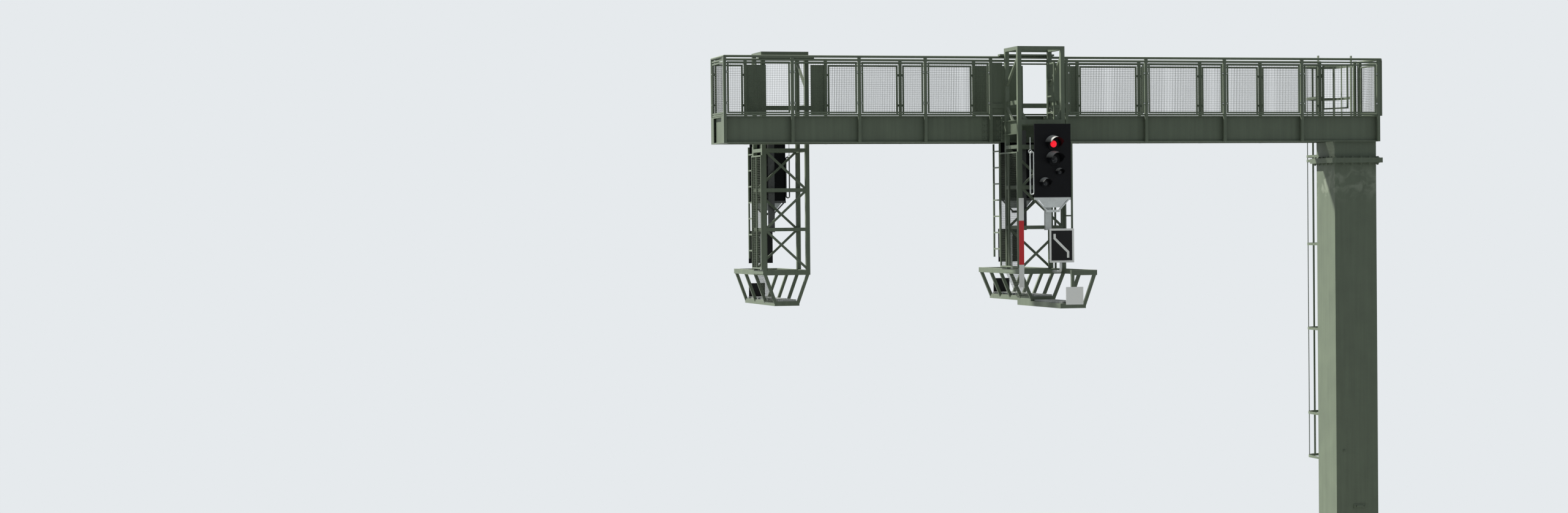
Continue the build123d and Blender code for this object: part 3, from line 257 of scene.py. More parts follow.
def swept(profile, paths, up, closed=False):
    """Profile (x, y) carried along each path p(t): p + x m s + y u, with s = up x p', u = p' x s,
    and m = 1 / cos(half the bend), which keeps the width round a mitred corner."""
    paths = np.asarray(paths, float)
    paths = paths[None] if paths.ndim == 2 else paths
    ahead = unit(np.roll(paths, -1, 1) - paths + TINY)
    behind = np.roll(ahead, 1, 1)
    if not closed:
        ahead[:, -1] = behind[:, -1]
        behind[:, 0] = ahead[:, 0]
    tangent = unit(ahead + behind)
    mitre = 1 / np.sum(tangent * ahead, -1)[:, :, None, None]
    side = unit(np.cross(np.asarray(up, float), tangent))
    above = np.cross(tangent, side)
    across = profile[:, 0, None] * side[:, :, None] * mitre
    return skin(paths[:, :, None] + across + profile[:, 1, None] * above[:, :, None], closed)


def turned(centres, axis, radii, heights, sides):
    """Turned shape at each centre c: c + h a + r (cos v e + sin v f), r and h running along its outline."""
    axis = unit(np.asarray(axis, float))
    first = unit(np.cross(axis, OFF_AXIS))
    second = np.cross(axis, first)
    round_about = polygon(sides, 1.0) @ np.stack((first, second))
    along = np.asarray(heights, float)[:, None, None] * axis
    outline = along + np.asarray(radii, float)[:, None, None] * round_about
    return skin(np.atleast_2d(np.asarray(centres, float))[:, None, None] + outline)


def bar(start, end, width, height, up, chamfer=0.002):
    """Straight bar with cut edges: its plate profile carried from start to end."""
    return swept(plate(width, height, chamfer), (start, end), up)


def netting(corner, across, along, pitch, diameter):
    """Wires of a welded mesh over corner + s across + t along: one layer at even steps of s, one at
    even steps of t, each half a wire to its own side of the sheet, so that they touch."""
    corner, across, along = (np.asarray(value, float) for value in (corner, across, along))
    face = unit(np.cross(across, along)) * diameter / 2
    layers = []
    for step, run, side in ((across, along, face), (along, across, -face)):
        count = max(1, round(float(np.linalg.norm(step)) / pitch))
        share = (np.arange(count) + 0.5) / count
        start = corner + side + share[:, None] * step
        layers.append(np.stack((start, start + run), 1))
    return swept(polygon(8, diameter / 2), np.concatenate(layers), face)


def fixings(centres, axis, flats):
    """Washer and hexagon head with cut corners at each centre."""
    return [turned(centres, axis, *(flats * WASHER), 16), turned(centres, axis, *(flats * HEAD), 6)]


def nuts(centres, axis, flats):
    """Washer, nut and bolt end at each centre."""
    return fixings(centres, axis, flats) + [turned(centres, axis, *(flats * STUD), 12)]


def grating(low, high, pitch, thickness):
    """Bearing bars across Y, round cross rods along X at their top and a flat band round the edge."""
    (x0, y0, z0), (x1, y1, z1) = low, high
    depth = z1 - z0
    middle = (z0 + z1) / 2
    count = round((x1 - x0) / pitch)
    xs = x0 + (np.arange(1, count) / count) * (x1 - x0)
    flat = plate(thickness, depth, thickness / 4)
    starts = np.stack((xs, np.full(count - 1, y0), np.full(count - 1, middle)), -1)
    bars = np.stack((starts, starts + (0, y1 - y0, 0)), 1)
    rod = thickness * ROD_SHARE
    rows = round((y1 - y0) / (ROD_SHARE * pitch))
    ys = y0 + (np.arange(1, rows) / rows) * (y1 - y0)
    foot = np.stack((np.full(rows - 1, x0), ys, np.full(rows - 1, z1 - rod / 2)), -1)
    rods = np.stack((foot, foot + (x1 - x0, 0, 0)), 1)
    edge = [(x, y, middle) for x, y in inset(x0, x1, y0, y1, thickness / 2)]
    up = (0, 0, 1)
    return [
        swept(flat, bars, up),
        swept(polygon(8, rod / 2), rods, up),
        swept(flat, edge, up, closed=True),
    ]


def signal_point(signal, x, y, z):
    """A point given in a signal's own frame, in the gantry's frame."""
    return (signal[0] + signal[2] * x, signal[1] + signal[2] * y, z)


def brow(signal, x, z, radius):
    """Top of a hood, which falls towards the mouth: an arc of radius r + w (1 - t) ** 1.3 over the hood's
    own arc, t running from the screen to the mouth."""
    arc = np.linspace(*(math.radians(angle) for angle in BROW_ARC), BROW_STEPS)
    inner = radius + BROW_SEAT
    rings = []
    for share in np.linspace(0, 1, BROW_RINGS):
        outer = radius + BROW_SHEET + BROW_RISE * radius * (1 - share) ** BROW_FALL
        y = -SCREEN_REACH - BROW_GAP - share * BROW_LENGTH * radius
        line = [(outer, angle) for angle in arc] + [(inner, angle) for angle in arc[::-1]]
        corners = [(x + size * math.cos(angle), z + size * math.sin(angle)) for size, angle in line]
        rings.append([signal_point(signal, across, y, height) for across, height in corners])
    return skin(np.array([rings]))


def piece(name, shells, material, body="gantry"):
    """New object of the given surfaces, riding on a body of the gantry."""
    starts = np.cumsum([0] + [len(points) for points, groups in shells])
    pairs = zip(shells, starts)
    faces = [group + start for (points, groups), start in pairs for group in groups if len(group)]
    sizes = np.concatenate([np.full(len(group), group.shape[1]) for group in faces])
    loops = np.concatenate([group.ravel() for group in faces])
    places = np.concatenate([points for points, groups in shells])
    begins = np.concatenate(((0,), np.cumsum(sizes)[:-1]))
    mesh = bpy.data.meshes.new(name)
    mesh.vertices.add(int(starts[-1]))
    mesh.vertices.foreach_set("co", places.astype(np.float32).ravel())
    mesh.loops.add(len(loops))
    mesh.loops.foreach_set("vertex_index", loops.astype(np.int32))
    mesh.polygons.add(len(sizes))
    mesh.polygons.foreach_set("loop_start", begins.astype(np.int32))
    mesh.polygons.foreach_set("use_smooth", np.ones(len(sizes), bool))
    mesh.update(calc_edges=True)
    mesh.set_sharp_from_angle(angle=math.radians(SHARP))
    if mesh.validate():
        raise RuntimeError(f"{name}: its surface isn't sound")
    mesh.materials.append(material)
    made = bpy.data.objects.new(name, mesh)
    bpy.context.scene.collection.objects.link(made)
    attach(made, body)
    return made


def corners_of(node):
    """Vertices of one of the gantry's own nodes, one a row."""
    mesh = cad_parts[node].data
    points = np.empty(len(mesh.vertices) * 3)
    mesh.vertices.foreach_get("co", points)
    return points.reshape(-1, 3)


def panel_edges(railing):
    """One row a panel of a railing: x of its left bracket, of its bar, of its opening from left to
    right, of its bar and of its right bracket."""
    return np.unique(corners_of(f"{railing}_mesh_panels")[:, 0].round(4)).reshape(-1, 6)


# Finishes

def linear(colour):
    """Linear colour of #RRGGBB, which is in sRGB."""
    share = np.array([int(colour[i:i + 2], 16) for i in (1, 3, 5)]) / 255
    curve = ((share + 0.055) / 1.055) ** 2.4
    return tuple(float(value) for value in np.where(share <= 0.04045, share / 12.92, curve))


def shade(colour, factor):
    """Linear colour times a factor, with alpha."""
    return (*(min(1.0, value * factor) for value in colour[:3]), 1.0)


def opaque(colour):
    """Linear colour of #RRGGBB, with alpha."""
    return shade(linear(colour), 1)


def add(tree, kind, **values):
    """Adds a node. Each value is a setting of the node or goes to an input, by name or as in3 for the
    fourth one: a socket is linked, a constant is set."""
    node = tree.nodes.new("ShaderNode" + kind)
    for name, value in values.items():
        if name in node.bl_rna.properties:
            setattr(node, name, value)
            continue
        counted = name.startswith("in") and name[2:].isdigit()
        port = node.inputs[int(name[2:])] if counted else node.inputs[name.replace("_", " ")]
        if isinstance(value, bpy.types.NodeSocket):
            tree.links.new(value, port)
        else:
            port.default_value = value
    return node


def noise(tree, where, scale, detail, **values):
    """Noise about 0.5, its clouds 1 / scale metres wide."""
    return add(tree, "TexNoise", Vector=where, Scale=scale, Detail=detail, **values).outputs["Fac"]


def maths(tree, operation, *values, clamp=False):
    """Result of an operation on sockets and constants."""
    inputs = {f"in{number}": value for number, value in enumerate(values)}
    return add(tree, "Math", operation=operation, use_clamp=clamp, **inputs).outputs[0]


def ranged(tree, value, low, high, **values):
    """Share of the way of a value from low to high, or the same between To_Min and To_Max."""
    return add(tree, "MapRange", Value=value, From_Min=low, From_Max=high, **values).outputs[0]


def blend(tree, factor, first, second):
    """Colour between two colours."""
    return add(tree, "Mix", data_type="RGBA", in0=factor, in6=first, in7=second).outputs[2]


def axis_of(tree, vector, axis):
    """X, Y or Z of a vector."""
    return add(tree, "SeparateXYZ", Vector=vector).outputs[axis]


def level(tree):
    """1 on faces that look up, 0 on upright ones."""
    return axis_of(tree, add(tree, "NewGeometry").outputs["Normal"], "Z")


def start(name):
    """New material: its tree and the position on the surface in metres."""
    material = bpy.data.materials.new(name)
    material.use_nodes = True
    material.node_tree.nodes.clear()
    tree = material.node_tree
    return material, tree, add(tree, "TexCoord").outputs["Object"]


def end(tree, **values):
    """The surface shader with the given sockets and constants, joined to the output."""
    shader = add(tree, "BsdfPrincipled", **values)
    add(tree, "OutputMaterial", Surface=shader.outputs[0])


def painted_steel(name, base, clouded=False):
    """Matt green paint on steel. The eye gets faint mottling, rain streaks and pale dust on level faces."""
    material, tree, where = start(name)
    mottle = noise(tree, where, 2.6, 5.0)
    stretched = add(tree, "Mapping", Vector=where, Scale=(16.0, 16.0, 0.6)).outputs[0]
    streak = noise(tree, stretched, 1.0, 4.0)
    # The flakes of the paint are finer than this; 2 mm is what a close view still shows
    flake = noise(tree, where, 500.0, 1.0)
    # Weighted sum of the three, moved so that it lies about 0.5
    total = maths(tree, "MULTIPLY_ADD", mottle, 0.9, -0.15)
    total = maths(tree, "MULTIPLY_ADD", streak, 0.9, total)
    total = maths(tree, "MULTIPLY_ADD", flake, 0.3, total)
    factor = maths(tree, "SUBTRACT", total, 0.4, clamp=True)
    colour = blend(tree, factor, shade(base, 0.80), shade(base, 1.2))
    dust = ranged(tree, level(tree), 0.5, 1.0, To_Max=0.18)
    colour = blend(tree, dust, colour, opaque("#A9AC9C"))
    if clouded:
        # Chalky clouds below the head flange of the column
        height = axis_of(tree, where, "Z")
        rise = ranged(tree, height, 7.1, 7.5, interpolation_type="SMOOTHSTEP")
        fall = ranged(tree, height, 7.9, 7.6, interpolation_type="SMOOTHSTEP")
        cloud = noise(tree, where, 4.5, 3.0, Distortion=0.8)
        edge = ranged(tree, cloud, 0.48, 0.62, To_Max=0.22)
        band = maths(tree, "MULTIPLY", rise, fall)
        colour = blend(tree, maths(tree, "MULTIPLY", band, edge), colour, opaque("#B4BBAA"))
    rough = ranged(tree, mottle, 0.3, 0.7, To_Min=0.48, To_Max=0.62)
    bump = add(tree, "Bump", Height=flake, Strength=0.12, Distance=0.0004).outputs[0]
    end(tree, Base_Color=colour, Roughness=rough, Specular_IOR_Level=0.25, Normal=bump)
    return material


def galvanised_steel(name, zinc, darkened=False):
    """Weathered zinc. The eye gets a patchwork of dull crystals some 20 mm wide, and on the supports of the
    two signals that face the rear, painted shade that makes them nearly as dark as the painted cage."""
    material, tree, where = start(name)
    cell = add(tree, "TexVoronoi", Vector=where, Scale=48.0).outputs["Color"]
    share = add(tree, "SeparateColor", Color=cell).outputs[0]
    cloud = noise(tree, where, 7.0, 3.0)
    both = maths(tree, "MULTIPLY_ADD", share, 0.5, cloud)
    factor = maths(tree, "SUBTRACT", both, 0.25, clamp=True)
    colour = blend(tree, factor, shade(zinc, 0.82), shade(zinc, 1.12))
    if darkened:
        # Painted shade: from y -1.2 rearwards the zinc goes down to 0.16 of its colour
        behind = ranged(tree, axis_of(tree, where, "Y"), -1.3, -1.2)
        colour = blend(tree, behind, colour, shade(zinc, 0.16))
    rough = ranged(tree, share, 0.0, 1.0, To_Min=0.42, To_Max=0.58)
    end(tree, Base_Color=colour, Metallic=0.85, Roughness=rough)
    return material


def grating_steel(name, grate):
    """Galvanised bars that boots have dulled. The eye gets grey steel, darker in random clouds of dirt."""
    material, tree, where = start(name)
    factor = ranged(tree, noise(tree, where, 9.0, 4.0), 0.35, 0.65)
    colour = blend(tree, factor, shade(grate, 0.75), shade(grate, 1.1))
    end(tree, Base_Color=colour, Metallic=0.8, Roughness=0.55)
    return material


def coated(name, colour, rough, spread, scale, dusty=0.0, gloss=0.5):
    """Enamel or powder coat in one colour. The eye gets slight clouds of dirt, a fine orange peel and, on
    level faces, pale dust that on the black coats is also a painted highlight."""
    material, tree, where = start(name)
    factor = ranged(tree, noise(tree, where, scale, 4.0), 0.35, 0.65)
    tone = blend(tree, factor, shade(colour, 1 - spread), shade(colour, 1 + spread))
    if dusty:
        # Pale on faces that look up: settled dust and a painted highlight of sunlit tops
        dust = ranged(tree, level(tree), 0.2, 1.0, To_Max=dusty)
        tone = blend(tree, dust, tone, opaque("#B7B8B4"))
    # Peel drawn at 2.5 mm, coarser than real coating, so that a close view shows it
    peel = noise(tree, where, 400.0, 1.0)
    bump = add(tree, "Bump", Height=peel, Strength=0.1, Distance=0.0003).outputs[0]
    end(tree, Base_Color=tone, Roughness=rough, Specular_IOR_Level=gloss, Normal=bump)
    return material


def sign_film(name, film):
    """Retroreflective red film. The eye gets a honeycomb of small cells in an even red."""
    material, tree, where = start(name)
    # Cells drawn at 6 mm, about twice the real ones
    cells = add(tree, "TexVoronoi", Vector=where, Scale=170.0, feature="DISTANCE_TO_EDGE")
    wall = ranged(tree, cells.outputs["Distance"], 0.02, 0.09)
    colour = blend(tree, wall, shade(film, 0.8), shade(film, 1.05))
    end(tree, Base_Color=colour, Roughness=0.32)
    return material


def lens_glass(name, colour, glow):
    """Moulded lens. The eye gets glossy coloured glass, and where the lamp is on, its light."""
    material, tree, where = start(name)
    tone = blend(tree, noise(tree, where, 60.0, 2.0), shade(colour, 0.85), shade(colour, 1.15))
    light = {"Emission_Color": shade(colour, 1.0), "Emission_Strength": glow}
    end(tree, Base_Color=tone, Roughness=0.12, Coat_Weight=0.6, Coat_Roughness=0.06, **light)
    return material


MATT_BLACK = {"spread": 0.22, "scale": 6.0, "gloss": 0.12}
SIGN_ENAMEL = {"rough": 0.42, "spread": 0.15, "scale": 8.0, "gloss": 0.2}
WIRE_COAT = {"rough": 0.6, "spread": 0.1, "scale": 5.0, "gloss": 0.2}
FINISHES = {
    "painted_steel": lambda name, look: painted_steel(name, look.paint),
    "clouded_painted_steel": lambda name, look: painted_steel(name, look.paint, clouded=True),
    # Mesh wires: the green paint at 0.6, painted shade that keeps the backlit wires dark
    "painted_wire": lambda name, look: coated(name, shade(look.paint, 0.6), **WIRE_COAT),
    "galvanised_steel": lambda name, look: galvanised_steel(name, look.zinc),
    "darkened_galvanised_steel": lambda name, look: galvanised_steel(name, look.zinc, darkened=True),
    "grating_steel": lambda name, look: grating_steel(name, look.grate),
    # Pale tops of the black coats are dust and painted highlight; on the hood tops mostly painted highlight
    "matt_black_coat": lambda name, look: coated(name, look.black, 0.5, dusty=0.5, **MATT_BLACK),
    "dust_and_highlight_black_coat": lambda name, look: coated(name, look.black, 0.6, dusty=0.9, **MATT_BLACK),
    "white_enamel": lambda name, look: coated(name, look.white, 0.38, 0.05, 8.0),
    "black_sign_enamel": lambda name, look: coated(name, linear("#0C0C0E"), **SIGN_ENAMEL),
    "red_sign_film": lambda name, look: sign_film(name, look.film),
    "red_lens_glass": lambda name, look: lens_glass(name, look.lamp, look.glow),
    "dark_lens_glass": lambda name, look: lens_glass(name, linear("#20252A"), 0.0),
}
# Finish of each slot, and of the two nodes that differ from their slot
SLOT_FINISHES = {
    "green_paint": "painted_steel",
    "galvanised": "galvanised_steel",
    "grating": "grating_steel",
    "black_enamel": "matt_black_coat",
    "white_enamel": "white_enamel",
    "sign_black": "black_sign_enamel",
}
NODE_FINISHES = {
    "column_shaft": "clouded_painted_steel",
    "signal_supports": "darkened_galvanised_steel",
}


def finish(name):
    """The material of that name, made at its first use."""
    return bpy.data.materials.get(name) or FINISHES[name](name, bpy.context.scene.gantry_look)


def length(name, description, default, low, high):
    """A length in metres that the panel offers."""
    limits = {"min": low, "max": high, "unit": "LENGTH"}
    return FloatProperty(name=name, description=description, default=default, **limits)


def tint(name, description, default):
    """A colour that the panel offers."""
    limits = {"subtype": "COLOR", "min": 0, "max": 1}
    return FloatVectorProperty(name=name, description=description, default=linear(default), **limits)


def strength(name, description, default, high):
    """A strength of light that the panel offers."""
    return FloatProperty(name=name, description=description, default=default, min=0, max=high)


class GantryLook(bpy.types.PropertyGroup):
    """Sizes and colours of the gantry's fine detail"""
    wire: length("Wire", "Diameter of the mesh wires", 0.0034, 0.001, 0.008)
    pitch: length("Mesh pitch", "Distance from wire to wire", 0.03, 0.015, 0.1)
    grate_pitch: length("Grating pitch", "Distance between bearing bars", 0.034, 0.02, 0.1)
    grate_bar: length("Grating bar", "Thickness of the bearing bars", 0.004, 0.002, 0.01)
    flange_bolt: length("Flange bolt", "Width across flats of the column's bolts", 0.036, 0.02, 0.06)
    frame_bolt: length("Frame bolt", "Width across flats of the cage bolts", 0.024, 0.01, 0.04)
    panel_bolt: length("Panel bolt", "Width across flats of the railing bolts", 0.015, 0.008, 0.03)
    border: length("Sign border", "Width of the indicators' white border", 0.034, 0.01, 0.06)
    paint: tint("Paint", "Green paint of the steel", "#606A5A")
    zinc: tint("Zinc", "Galvanised supports", "#B9BDBB")
    grate: tint("Grating", "Galvanised gratings", "#8C908D")
    black: tint("Black", "Coating of the signal screens", "#0A0B0E")
    white: tint("White", "Enamel of plates and borders", "#F2F3F0")
    film: tint("Red film", "Red part of the mast plate", "#D8121C")
    lamp: tint("Red lamp", "Colour of the lamp that is on", "#E8182C")
    glow: strength("Glow", "Strength of the lamp that is on", 0.9, 20)
    sun: strength("Sun", "Strength of the sun lamp", 9.4, 20)
    sky: strength("Sky", "Strength of the light from all round", 0.4, 3)


class GANTRY_OT_finishes(bpy.types.Operator):
    """Puts the paint, zinc, enamel and grating finishes on the gantry's own parts"""
    bl_idname = "gantry.finishes"
    bl_label = "Finishes"

    def execute(self, context):
        for name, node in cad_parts.items():
            for place in node.material_slots:
                slot = place.material.name.split(".")[0]
                if slot not in SLOT_FINISHES:
                    raise RuntimeError(f"{name} has the unknown slot {slot}")
                place.material = finish(NODE_FINISHES.get(name, SLOT_FINISHES[slot]))
        return {"FINISHED"}


class GANTRY_OT_railing_mesh(bpy.types.Operator):
    """Welds wire mesh into the frames of the railing"""
    bl_idname = "gantry.railing_mesh"
    bl_label = "Railing mesh"

    def execute(self, context):
        look = context.scene.gantry_look
        low = PANEL_LOW + PANEL_BAR / 2
        rise = (0, 0, PANEL_TOP - PANEL_LOW - PANEL_BAR)
        for name, side in RAILINGS:
            shells = []
            for left, right in panel_edges(name)[:, 2:4]:
                start = (left - PANEL_BAR / 2, side * RAILING_Y, low)
                across = (right - left + PANEL_BAR, 0, 0)
                shells.append(netting(start, across, rise, look.pitch, look.wire))
            piece(f"{name}_railing_wires", shells, finish("painted_wire"))
        for name, x, half in END_SHEETS:
            start = (x, -half - PANEL_BAR / 2, low)
            across = (0, 2 * half + PANEL_BAR, 0)
            sheet = netting(start, across, rise, look.pitch, look.wire)
            piece(f"{name}_railing_wires", [sheet], finish("painted_wire"))
        return {"FINISHED"}


class GANTRY_OT_cage_mesh(bpy.types.Operator):
    """Welds wire mesh into the side frames of the cages and onto the slopes of the baskets"""
    bl_idname = "gantry.cage_mesh"
    bl_label = "Cage mesh"

    def execute(self, context):
        look = context.scene.gantry_look
        for (middle, side), (name, near, foot_z) in zip(CAGES, CAGE_SHEETS):
            start = (middle + SHEET_X, side * (near + SHEET_GAP), SHEET_LOW)
            across = (0, side * (CAGE_FAR - near - 2 * SHEET_GAP), 0)
            upright = netting(start, across, (0, 0, SHEET_RISE), look.pitch, look.wire)
            top = np.array((middle + SLOPE_X[0], 0, SLOPE_TOP))
            foot = np.array((middle + SLOPE_X[1], 0, foot_z))
            start = top + (0, side * CAGE_NEAR, 0)
            across = (0, side * (CAGE_FAR - CAGE_NEAR), 0)
            slope = netting(start, across, foot - top, look.pitch, look.wire)
            piece(f"{name}_cage_wires", [upright, slope], finish("painted_wire"))
        return {"FINISHED"}


class GANTRY_OT_gratings(bpy.types.Operator):
    """Replaces the solid decks of the walkway and the baskets by open gratings"""
    bl_idname = "gantry.gratings"
    bl_label = "Gratings"

    def execute(self, context):
        look = context.scene.gantry_look
        for name in ("walkway_deck", "right_basket_floor", "left_basket_floor"):
            points = corners_of(name).round(4)
            low, high = points.min(0), points.max(0)
            shells = []
            spans = [(low, high)]
            if name == "right_basket_floor":
                spans = [((low[0], *first), (high[0], *last)) for first, last in RIGHT_FLOORS]
            if name == "walkway_deck":
                edges = np.unique(points[:, 0]).reshape(-1, 2)
                spans = [((left, *low[1:]), (right, *high[1:])) for left, right in edges]
            for first, last in spans:
                shells += grating(first, last, look.grate_pitch, look.grate_bar)
            made_name = name.replace("deck", "grating").replace("floor", "grating")
            made = piece(made_name, shells, finish("grating_steel"))
            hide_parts(name)
        return {"FINISHED"}


class GANTRY_OT_bolts(bpy.types.Operator):
    """Sets hexagon bolts in the column flange, the cage brackets and the railing"""
    bl_idname = "gantry.bolts"
    bl_label = "Bolts"

    def execute(self, context):
        look = context.scene.gantry_look
        long_row, short_row = (FLANGE_PITCH * (np.arange(count) - (count - 1) / 2) for count in (6, 5))
        ring = np.concatenate((
            lattice(long_row, (-FLANGE_Y, FLANGE_Y), (0,)),
            lattice((-FLANGE_X, FLANGE_X), short_row, (0,)),
        ))
        shells = fixings(ring + (0, 0, FLANGE_TOP), (0, 0, 1), look.flange_bolt)
        shells += nuts(ring + (0, 0, FLANGE_LOW), (0, 0, -1), look.flange_bolt)
        piece("column_flange_bolts", shells, finish("painted_steel"))
        shells = []
        for middle, side in CAGES:
            columns = middle + np.array((-LEG_X, LEG_X))[:, None] + CLAMP_X
            face = lattice(columns.ravel(), (side * (FLANGE_TIP + CLAMP_FACE),), CLAMP_Z)
            shells += fixings(face, (0, side, 0), look.frame_bolt)
            columns = middle + np.array((-1, 1)) * (CAGE_HALF - LEG - GUSSET_X)
            gusset = lattice(columns, (side * (CAGE_FAR - GUSSET_FACE),), GUSSET_Z)
            shells += fixings(gusset, (0, side, 0), look.panel_bolt)
        piece("cage_bracket_bolts", shells, finish("painted_steel"))
        levels = PANEL_LOW + BRACKET_SHARES * (PANEL_TOP - PANEL_LOW)
        shells = []
        for name, side in RAILINGS:
            edges = panel_edges(name)
            columns = np.concatenate((edges[:, :2].mean(1), edges[:, 4:].mean(1)))
            face = lattice(columns, (side * (RAILING_Y + PANEL_BAR / 2),), levels)
            shells += fixings(face, (0, side, 0), look.panel_bolt)
        for x, y, ahead in END_BRACKETS:
            shells += fixings(lattice((x,), (-y, y), levels), (ahead, 0, 0), look.panel_bolt)
        x, y, height = END_FEET
        shells += fixings(lattice((x,), (-y, y), (GIRDER_TOP + height,)), (0, 0, 1), look.frame_bolt)
        piece("railing_bolts", shells, finish("galvanised_steel"))
        return {"FINISHED"}


class GANTRY_OT_lamps(bpy.types.Operator):
    """Sets a stepped lens in each lamp, with the top lamp of every signal on"""
    bl_idname = "gantry.lamps"
    bl_label = "Lamps"

    def execute(self, context):
        share = np.linspace(1, LENS_TIP, LENS_STEPS)
        rings = RING_DEPTH * np.cos(2 * np.pi * LENS_RINGS * share)
        bulge = LENS_BULGE * (1 - share ** 2) + rings
        for name, signal in zip(SIGNAL_NAMES, SIGNALS):
            out = (0, -signal[2], 0)
            for number, (x, z, radius) in enumerate(LAMPS):
                centre = signal_point(signal, x, -SCREEN_REACH, z)
                radii = LENS_SHARE * radius * share
                glass = turned(centre, out, radii, LENS_SEAT + radius * bulge, ROUND_SIDES)
                rim = turned(centre, out, radius * BEZEL_RADII, radius * BEZEL_HEIGHTS, ROUND_SIDES)
                kind = "red_lens_glass" if number == 0 else "dark_lens_glass"
                piece(f"{name}_lens_{number + 1}", [glass], finish(kind))
                piece(f"{name}_bezel_{number + 1}", [rim], finish("matt_black_coat"))
            brows = [brow(signal, *lamp) for lamp in LAMPS]
            # Hood tops: a painted highlight on their upper faces
            piece(f"{name}_hood_tops", brows, finish("dust_and_highlight_black_coat"))
        return {"FINISHED"}


class GANTRY_OT_signs(bpy.types.Operator):
    """Draws the white border and bent line of the indicators and the red part of the mast plate"""
    bl_idname = "gantry.signs"
    bl_label = "Signs"

    def execute(self, context):
        border = context.scene.gantry_look.border
        strip = plate(border, FILM, FILM_EDGE)
        line = plate(LINE_SHARE * border, FILM, FILM_EDGE)
        corners = inset(*SIGN_X, *SIGN_Z, border / 2)
        shells = []
        for signal in SIGNALS:
            out = (0, -signal[2], 0)
            frame_path = [signal_point(signal, x, -SIGN_REACH, z) for x, z in corners]
            line_path = [signal_point(signal, x, -SIGN_REACH, z) for x, z in BENT_LINE]
            shells.append(swept(strip, frame_path, out, closed=True))
            shells.append(swept(line, line_path, out))
        piece("indicator_lines", shells, finish("white_enamel"))
        low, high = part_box("mast_plate")
        ends = [((low.x + high.x) / 2, low.y, z) for z in MAST_RED_Z]
        red = bar(*ends, high.x - low.x - MAST_RED_MARGIN, FILM, (0, -1, 0), FILM_EDGE)
        piece("mast_plate_red", [red], finish("red_sign_film"))
        backs = []
        for x, y, z in NUMBER_PLATES:
            ends = ((x, y, z - NUMBER_HALF), (x, y, z + NUMBER_HALF))
            backs.append(bar(*ends, NUMBER_WIDTH, FILM, (0, 1, 0), FILM_EDGE))
        piece("number_plate_backs", backs, finish("black_sign_enamel"))
        return {"FINISHED"}


class GANTRY_OT_fittings(bpy.types.Operator):
    """Adds the small steel fittings: struts, side plates, splice plates, hooks and the column bracket"""
    bl_idname = "gantry.fittings"
    bl_label = "Fittings"

    def execute(self, context):
        look = context.scene.gantry_look
        shells = []
        for middle, side in CAGES:
            for x in (middle - LEG_X, middle + LEG_X):
                for (y0, z0), (y1, z1), width, depth, chamfer in CAGE_BARS:
                    ends = ((x, side * y0, z0), (x, side * y1, z1))
                    shells.append(bar(*ends, width, depth, (1, 0, 0), chamfer))
        for side in (-1, 1):
            out = (0, side, 0)
            for x in SPLICE_X:
                ends = [(x, side * (WEB_FACE + SPLICE_MIDDLE), z) for z in SPLICE_Z]
                shells.append(bar(*ends, SPLICE_WIDTH, SPLICE_DEPTH, out))
                columns = (x - SPLICE_BOLT_X, x + SPLICE_BOLT_X)
                face = lattice(columns, (side * (WEB_FACE + SPLICE_FACE),), SPLICE_BOLT_Z)
                shells += fixings(face, out, look.frame_bolt)
        out = (0, -1, 0)
        for x0, x1, middle, height, depth in COLUMN_PLATES:
            ends = [(x, COLUMN_FRONT - middle, COLUMN_BRACKET_Z) for x in (x0, x1)]
            shells.append(bar(*ends, height, depth, out))
        face = lattice(COLUMN_BOLT_X, (COLUMN_FRONT - COLUMN_BOLT_FACE,), (COLUMN_BRACKET_Z,))
        shells += fixings(face, out, look.frame_bolt)
        shells.append(turned((PLUG_X, COLUMN_FRONT, PLUG_Z), out, PLUG_RADII, PLUG_HEIGHTS, 20))
        piece("small_fittings", shells, finish("painted_steel"))
        angle = np.linspace(0, 2 * np.pi, 24, endpoint=False)
        circle = HOOK_RING * np.stack((np.cos(angle), 0 * angle, np.sin(angle)), -1)
        zinc = []
        for signal in SIGNALS:
            hook = np.array(signal_point(signal, HOOK_X, HOOK_Y, 0))
            rod = np.stack([hook + (0, 0, z) for z in HOOK_ROD_Z])
            zinc.append(swept(polygon(10, HOOK_ROD), rod, (1, 0, 0)))
            ring = hook + (0, 0, HOOK_RING_Z) + circle
            zinc.append(swept(polygon(8, HOOK_WIRE), ring, (0, 1, 0), closed=True))
            faces = [[signal_point(signal, x, y, z) for x, z in HANGER] for y in HANGER_Y]
            zinc.append(skin(np.array([faces])))
        piece("screen_hooks", zinc, finish("galvanised_steel"))
        return {"FINISHED"}


def lay_floor(scene):
    """Pale round floor below the gantry."""
    material, tree, where = start("pale_screed")
    colour = blend(tree, noise(tree, where, 1.5, 4.0), opaque("#8E908D"), opaque("#979995"))
    end(tree, Base_Color=colour, Roughness=0.9)
    points, groups = turned(FLOOR_AT, (0, 0, 1), FLOOR_RADII, FLOOR_HEIGHTS, 96)
    mesh = bpy.data.meshes.new("floor")
    mesh.from_pydata(points.tolist(), [], [face for group in groups for face in group.tolist()])
    mesh.materials.append(material)
    floor = bpy.data.objects.new("floor", mesh)
    scene.collection.objects.link(floor)


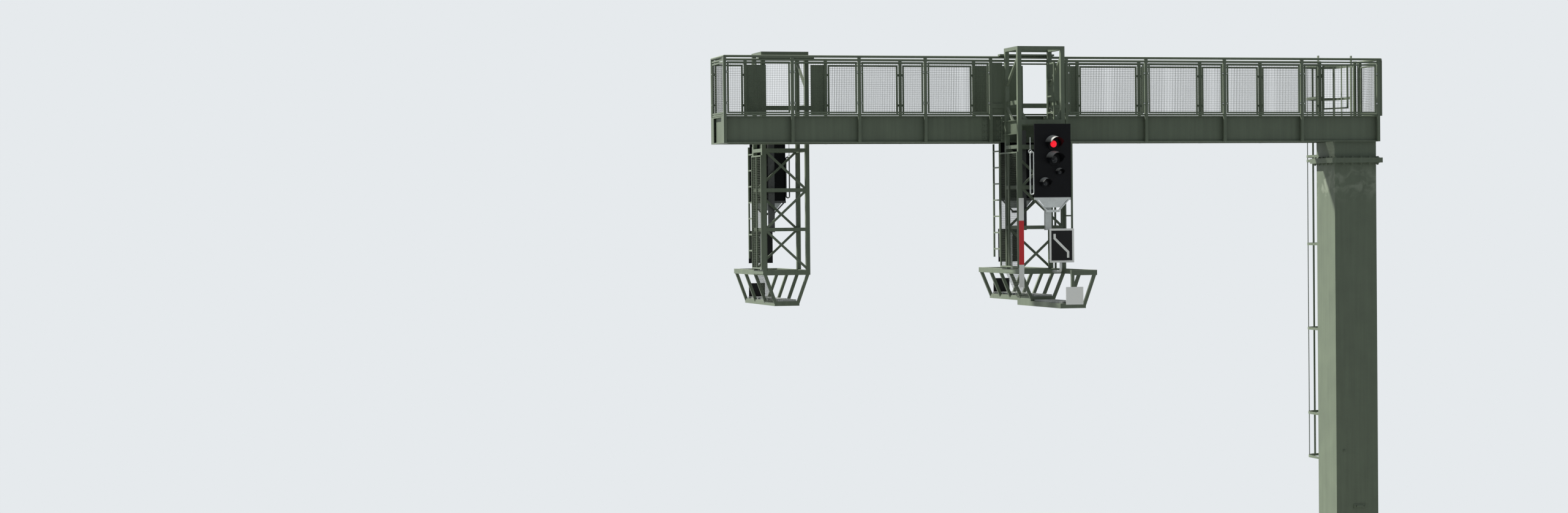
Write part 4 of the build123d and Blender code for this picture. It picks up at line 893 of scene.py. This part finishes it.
def light_scene(scene):
    """Sky that the eye sees paler than it lights, and a sun."""
    world = bpy.data.worlds.new("sky")
    world.use_nodes = True
    tree = world.node_tree
    tree.nodes.clear()
    rays = add(tree, "LightPath").outputs
    seen = maths(tree, "MAXIMUM", rays["Is Camera Ray"], rays["Is Glossy Ray"])
    seen = maths(tree, "MAXIMUM", seen, rays["Is Transmission Ray"])
    light = add(tree, "Background", Color=opaque("#E9F0F7"), Strength=scene.gantry_look.sky).outputs[0]
    pale = add(tree, "Background", Color=opaque("#E6EAED"), Strength=1.0).outputs[0]
    mixed = add(tree, "MixShader", in0=seen, in1=light, in2=pale).outputs[0]
    add(tree, "OutputWorld", Surface=mixed)
    scene.world = world
    data = bpy.data.lights.new("sun", "SUN")
    data.energy = scene.gantry_look.sun
    data.angle = math.radians(SUN_WIDTH)
    data.color = linear("#FFFCF7")
    sun = bpy.data.objects.new("sun", data)
    sun.rotation_euler = Vector(SUN_FROM).to_track_quat("Z", "Y").to_euler()
    scene.collection.objects.link(sun)


def set_camera(scene):
    """Camera of the photo: yaw and pitch give where it looks, and roll turns right and up about that."""
    data = bpy.data.cameras.new("camera")
    data.sensor_fit = "HORIZONTAL"
    data.sensor_width = CAMERA_SENSOR
    data.lens = CAMERA_LENS
    data.clip_end = CAMERA_END
    yaw, pitch, roll = (math.radians(value) for value in CAMERA_TURNS)
    ahead = Vector((math.sin(yaw) * math.cos(pitch), math.cos(yaw) * math.cos(pitch), -math.sin(pitch)))
    right = Vector((math.cos(yaw), -math.sin(yaw), 0))
    up = right.cross(ahead)
    turned_right = right * math.cos(roll) - up * math.sin(roll)
    turned_up = right * math.sin(roll) + up * math.cos(roll)
    facing = Matrix((turned_right, turned_up, -ahead)).transposed().to_4x4()
    camera = bpy.data.objects.new("camera", data)
    camera.matrix_world = Matrix.Translation(CAMERA_AT) @ facing
    scene.collection.objects.link(camera)
    scene.camera = camera


class GANTRY_OT_stage(bpy.types.Operator):
    """Sets the pale floor, the light and the camera"""
    bl_idname = "gantry.stage"
    bl_label = "Stage"

    def execute(self, context):
        lay_floor(context.scene)
        light_scene(context.scene)
        set_camera(context.scene)
        context.scene.view_settings.view_transform = "Standard"
        return {"FINISHED"}


STEPS = (
    GANTRY_OT_finishes,
    GANTRY_OT_railing_mesh,
    GANTRY_OT_cage_mesh,
    GANTRY_OT_gratings,
    GANTRY_OT_bolts,
    GANTRY_OT_lamps,
    GANTRY_OT_signs,
    GANTRY_OT_fittings,
    GANTRY_OT_stage,
)


class GANTRY_PT_panel(bpy.types.Panel):
    """Sidebar panel with the sizes, the colours and one button for each step"""
    bl_idname = "GANTRY_PT_panel"
    bl_label = "Signal gantry"
    bl_space_type = "VIEW_3D"
    bl_region_type = "UI"
    bl_category = "Gantry"

    def draw(self, context):
        for name in GantryLook.__annotations__:
            self.layout.prop(context.scene.gantry_look, name)
        for step in STEPS:
            self.layout.operator(step.bl_idname)


def register():
    for kind in (GantryLook, *STEPS, GANTRY_PT_panel):
        bpy.utils.register_class(kind)
    bpy.types.Scene.gantry_look = PointerProperty(type=GantryLook)


def unregister():
    del bpy.types.Scene.gantry_look
    for kind in reversed((GantryLook, *STEPS, GANTRY_PT_panel)):
        bpy.utils.unregister_class(kind)


def main():
    register()
    for step in STEPS:
        getattr(bpy.ops.gantry, step.bl_idname.split(".")[1])()


if __name__ == "__main__":
    main()
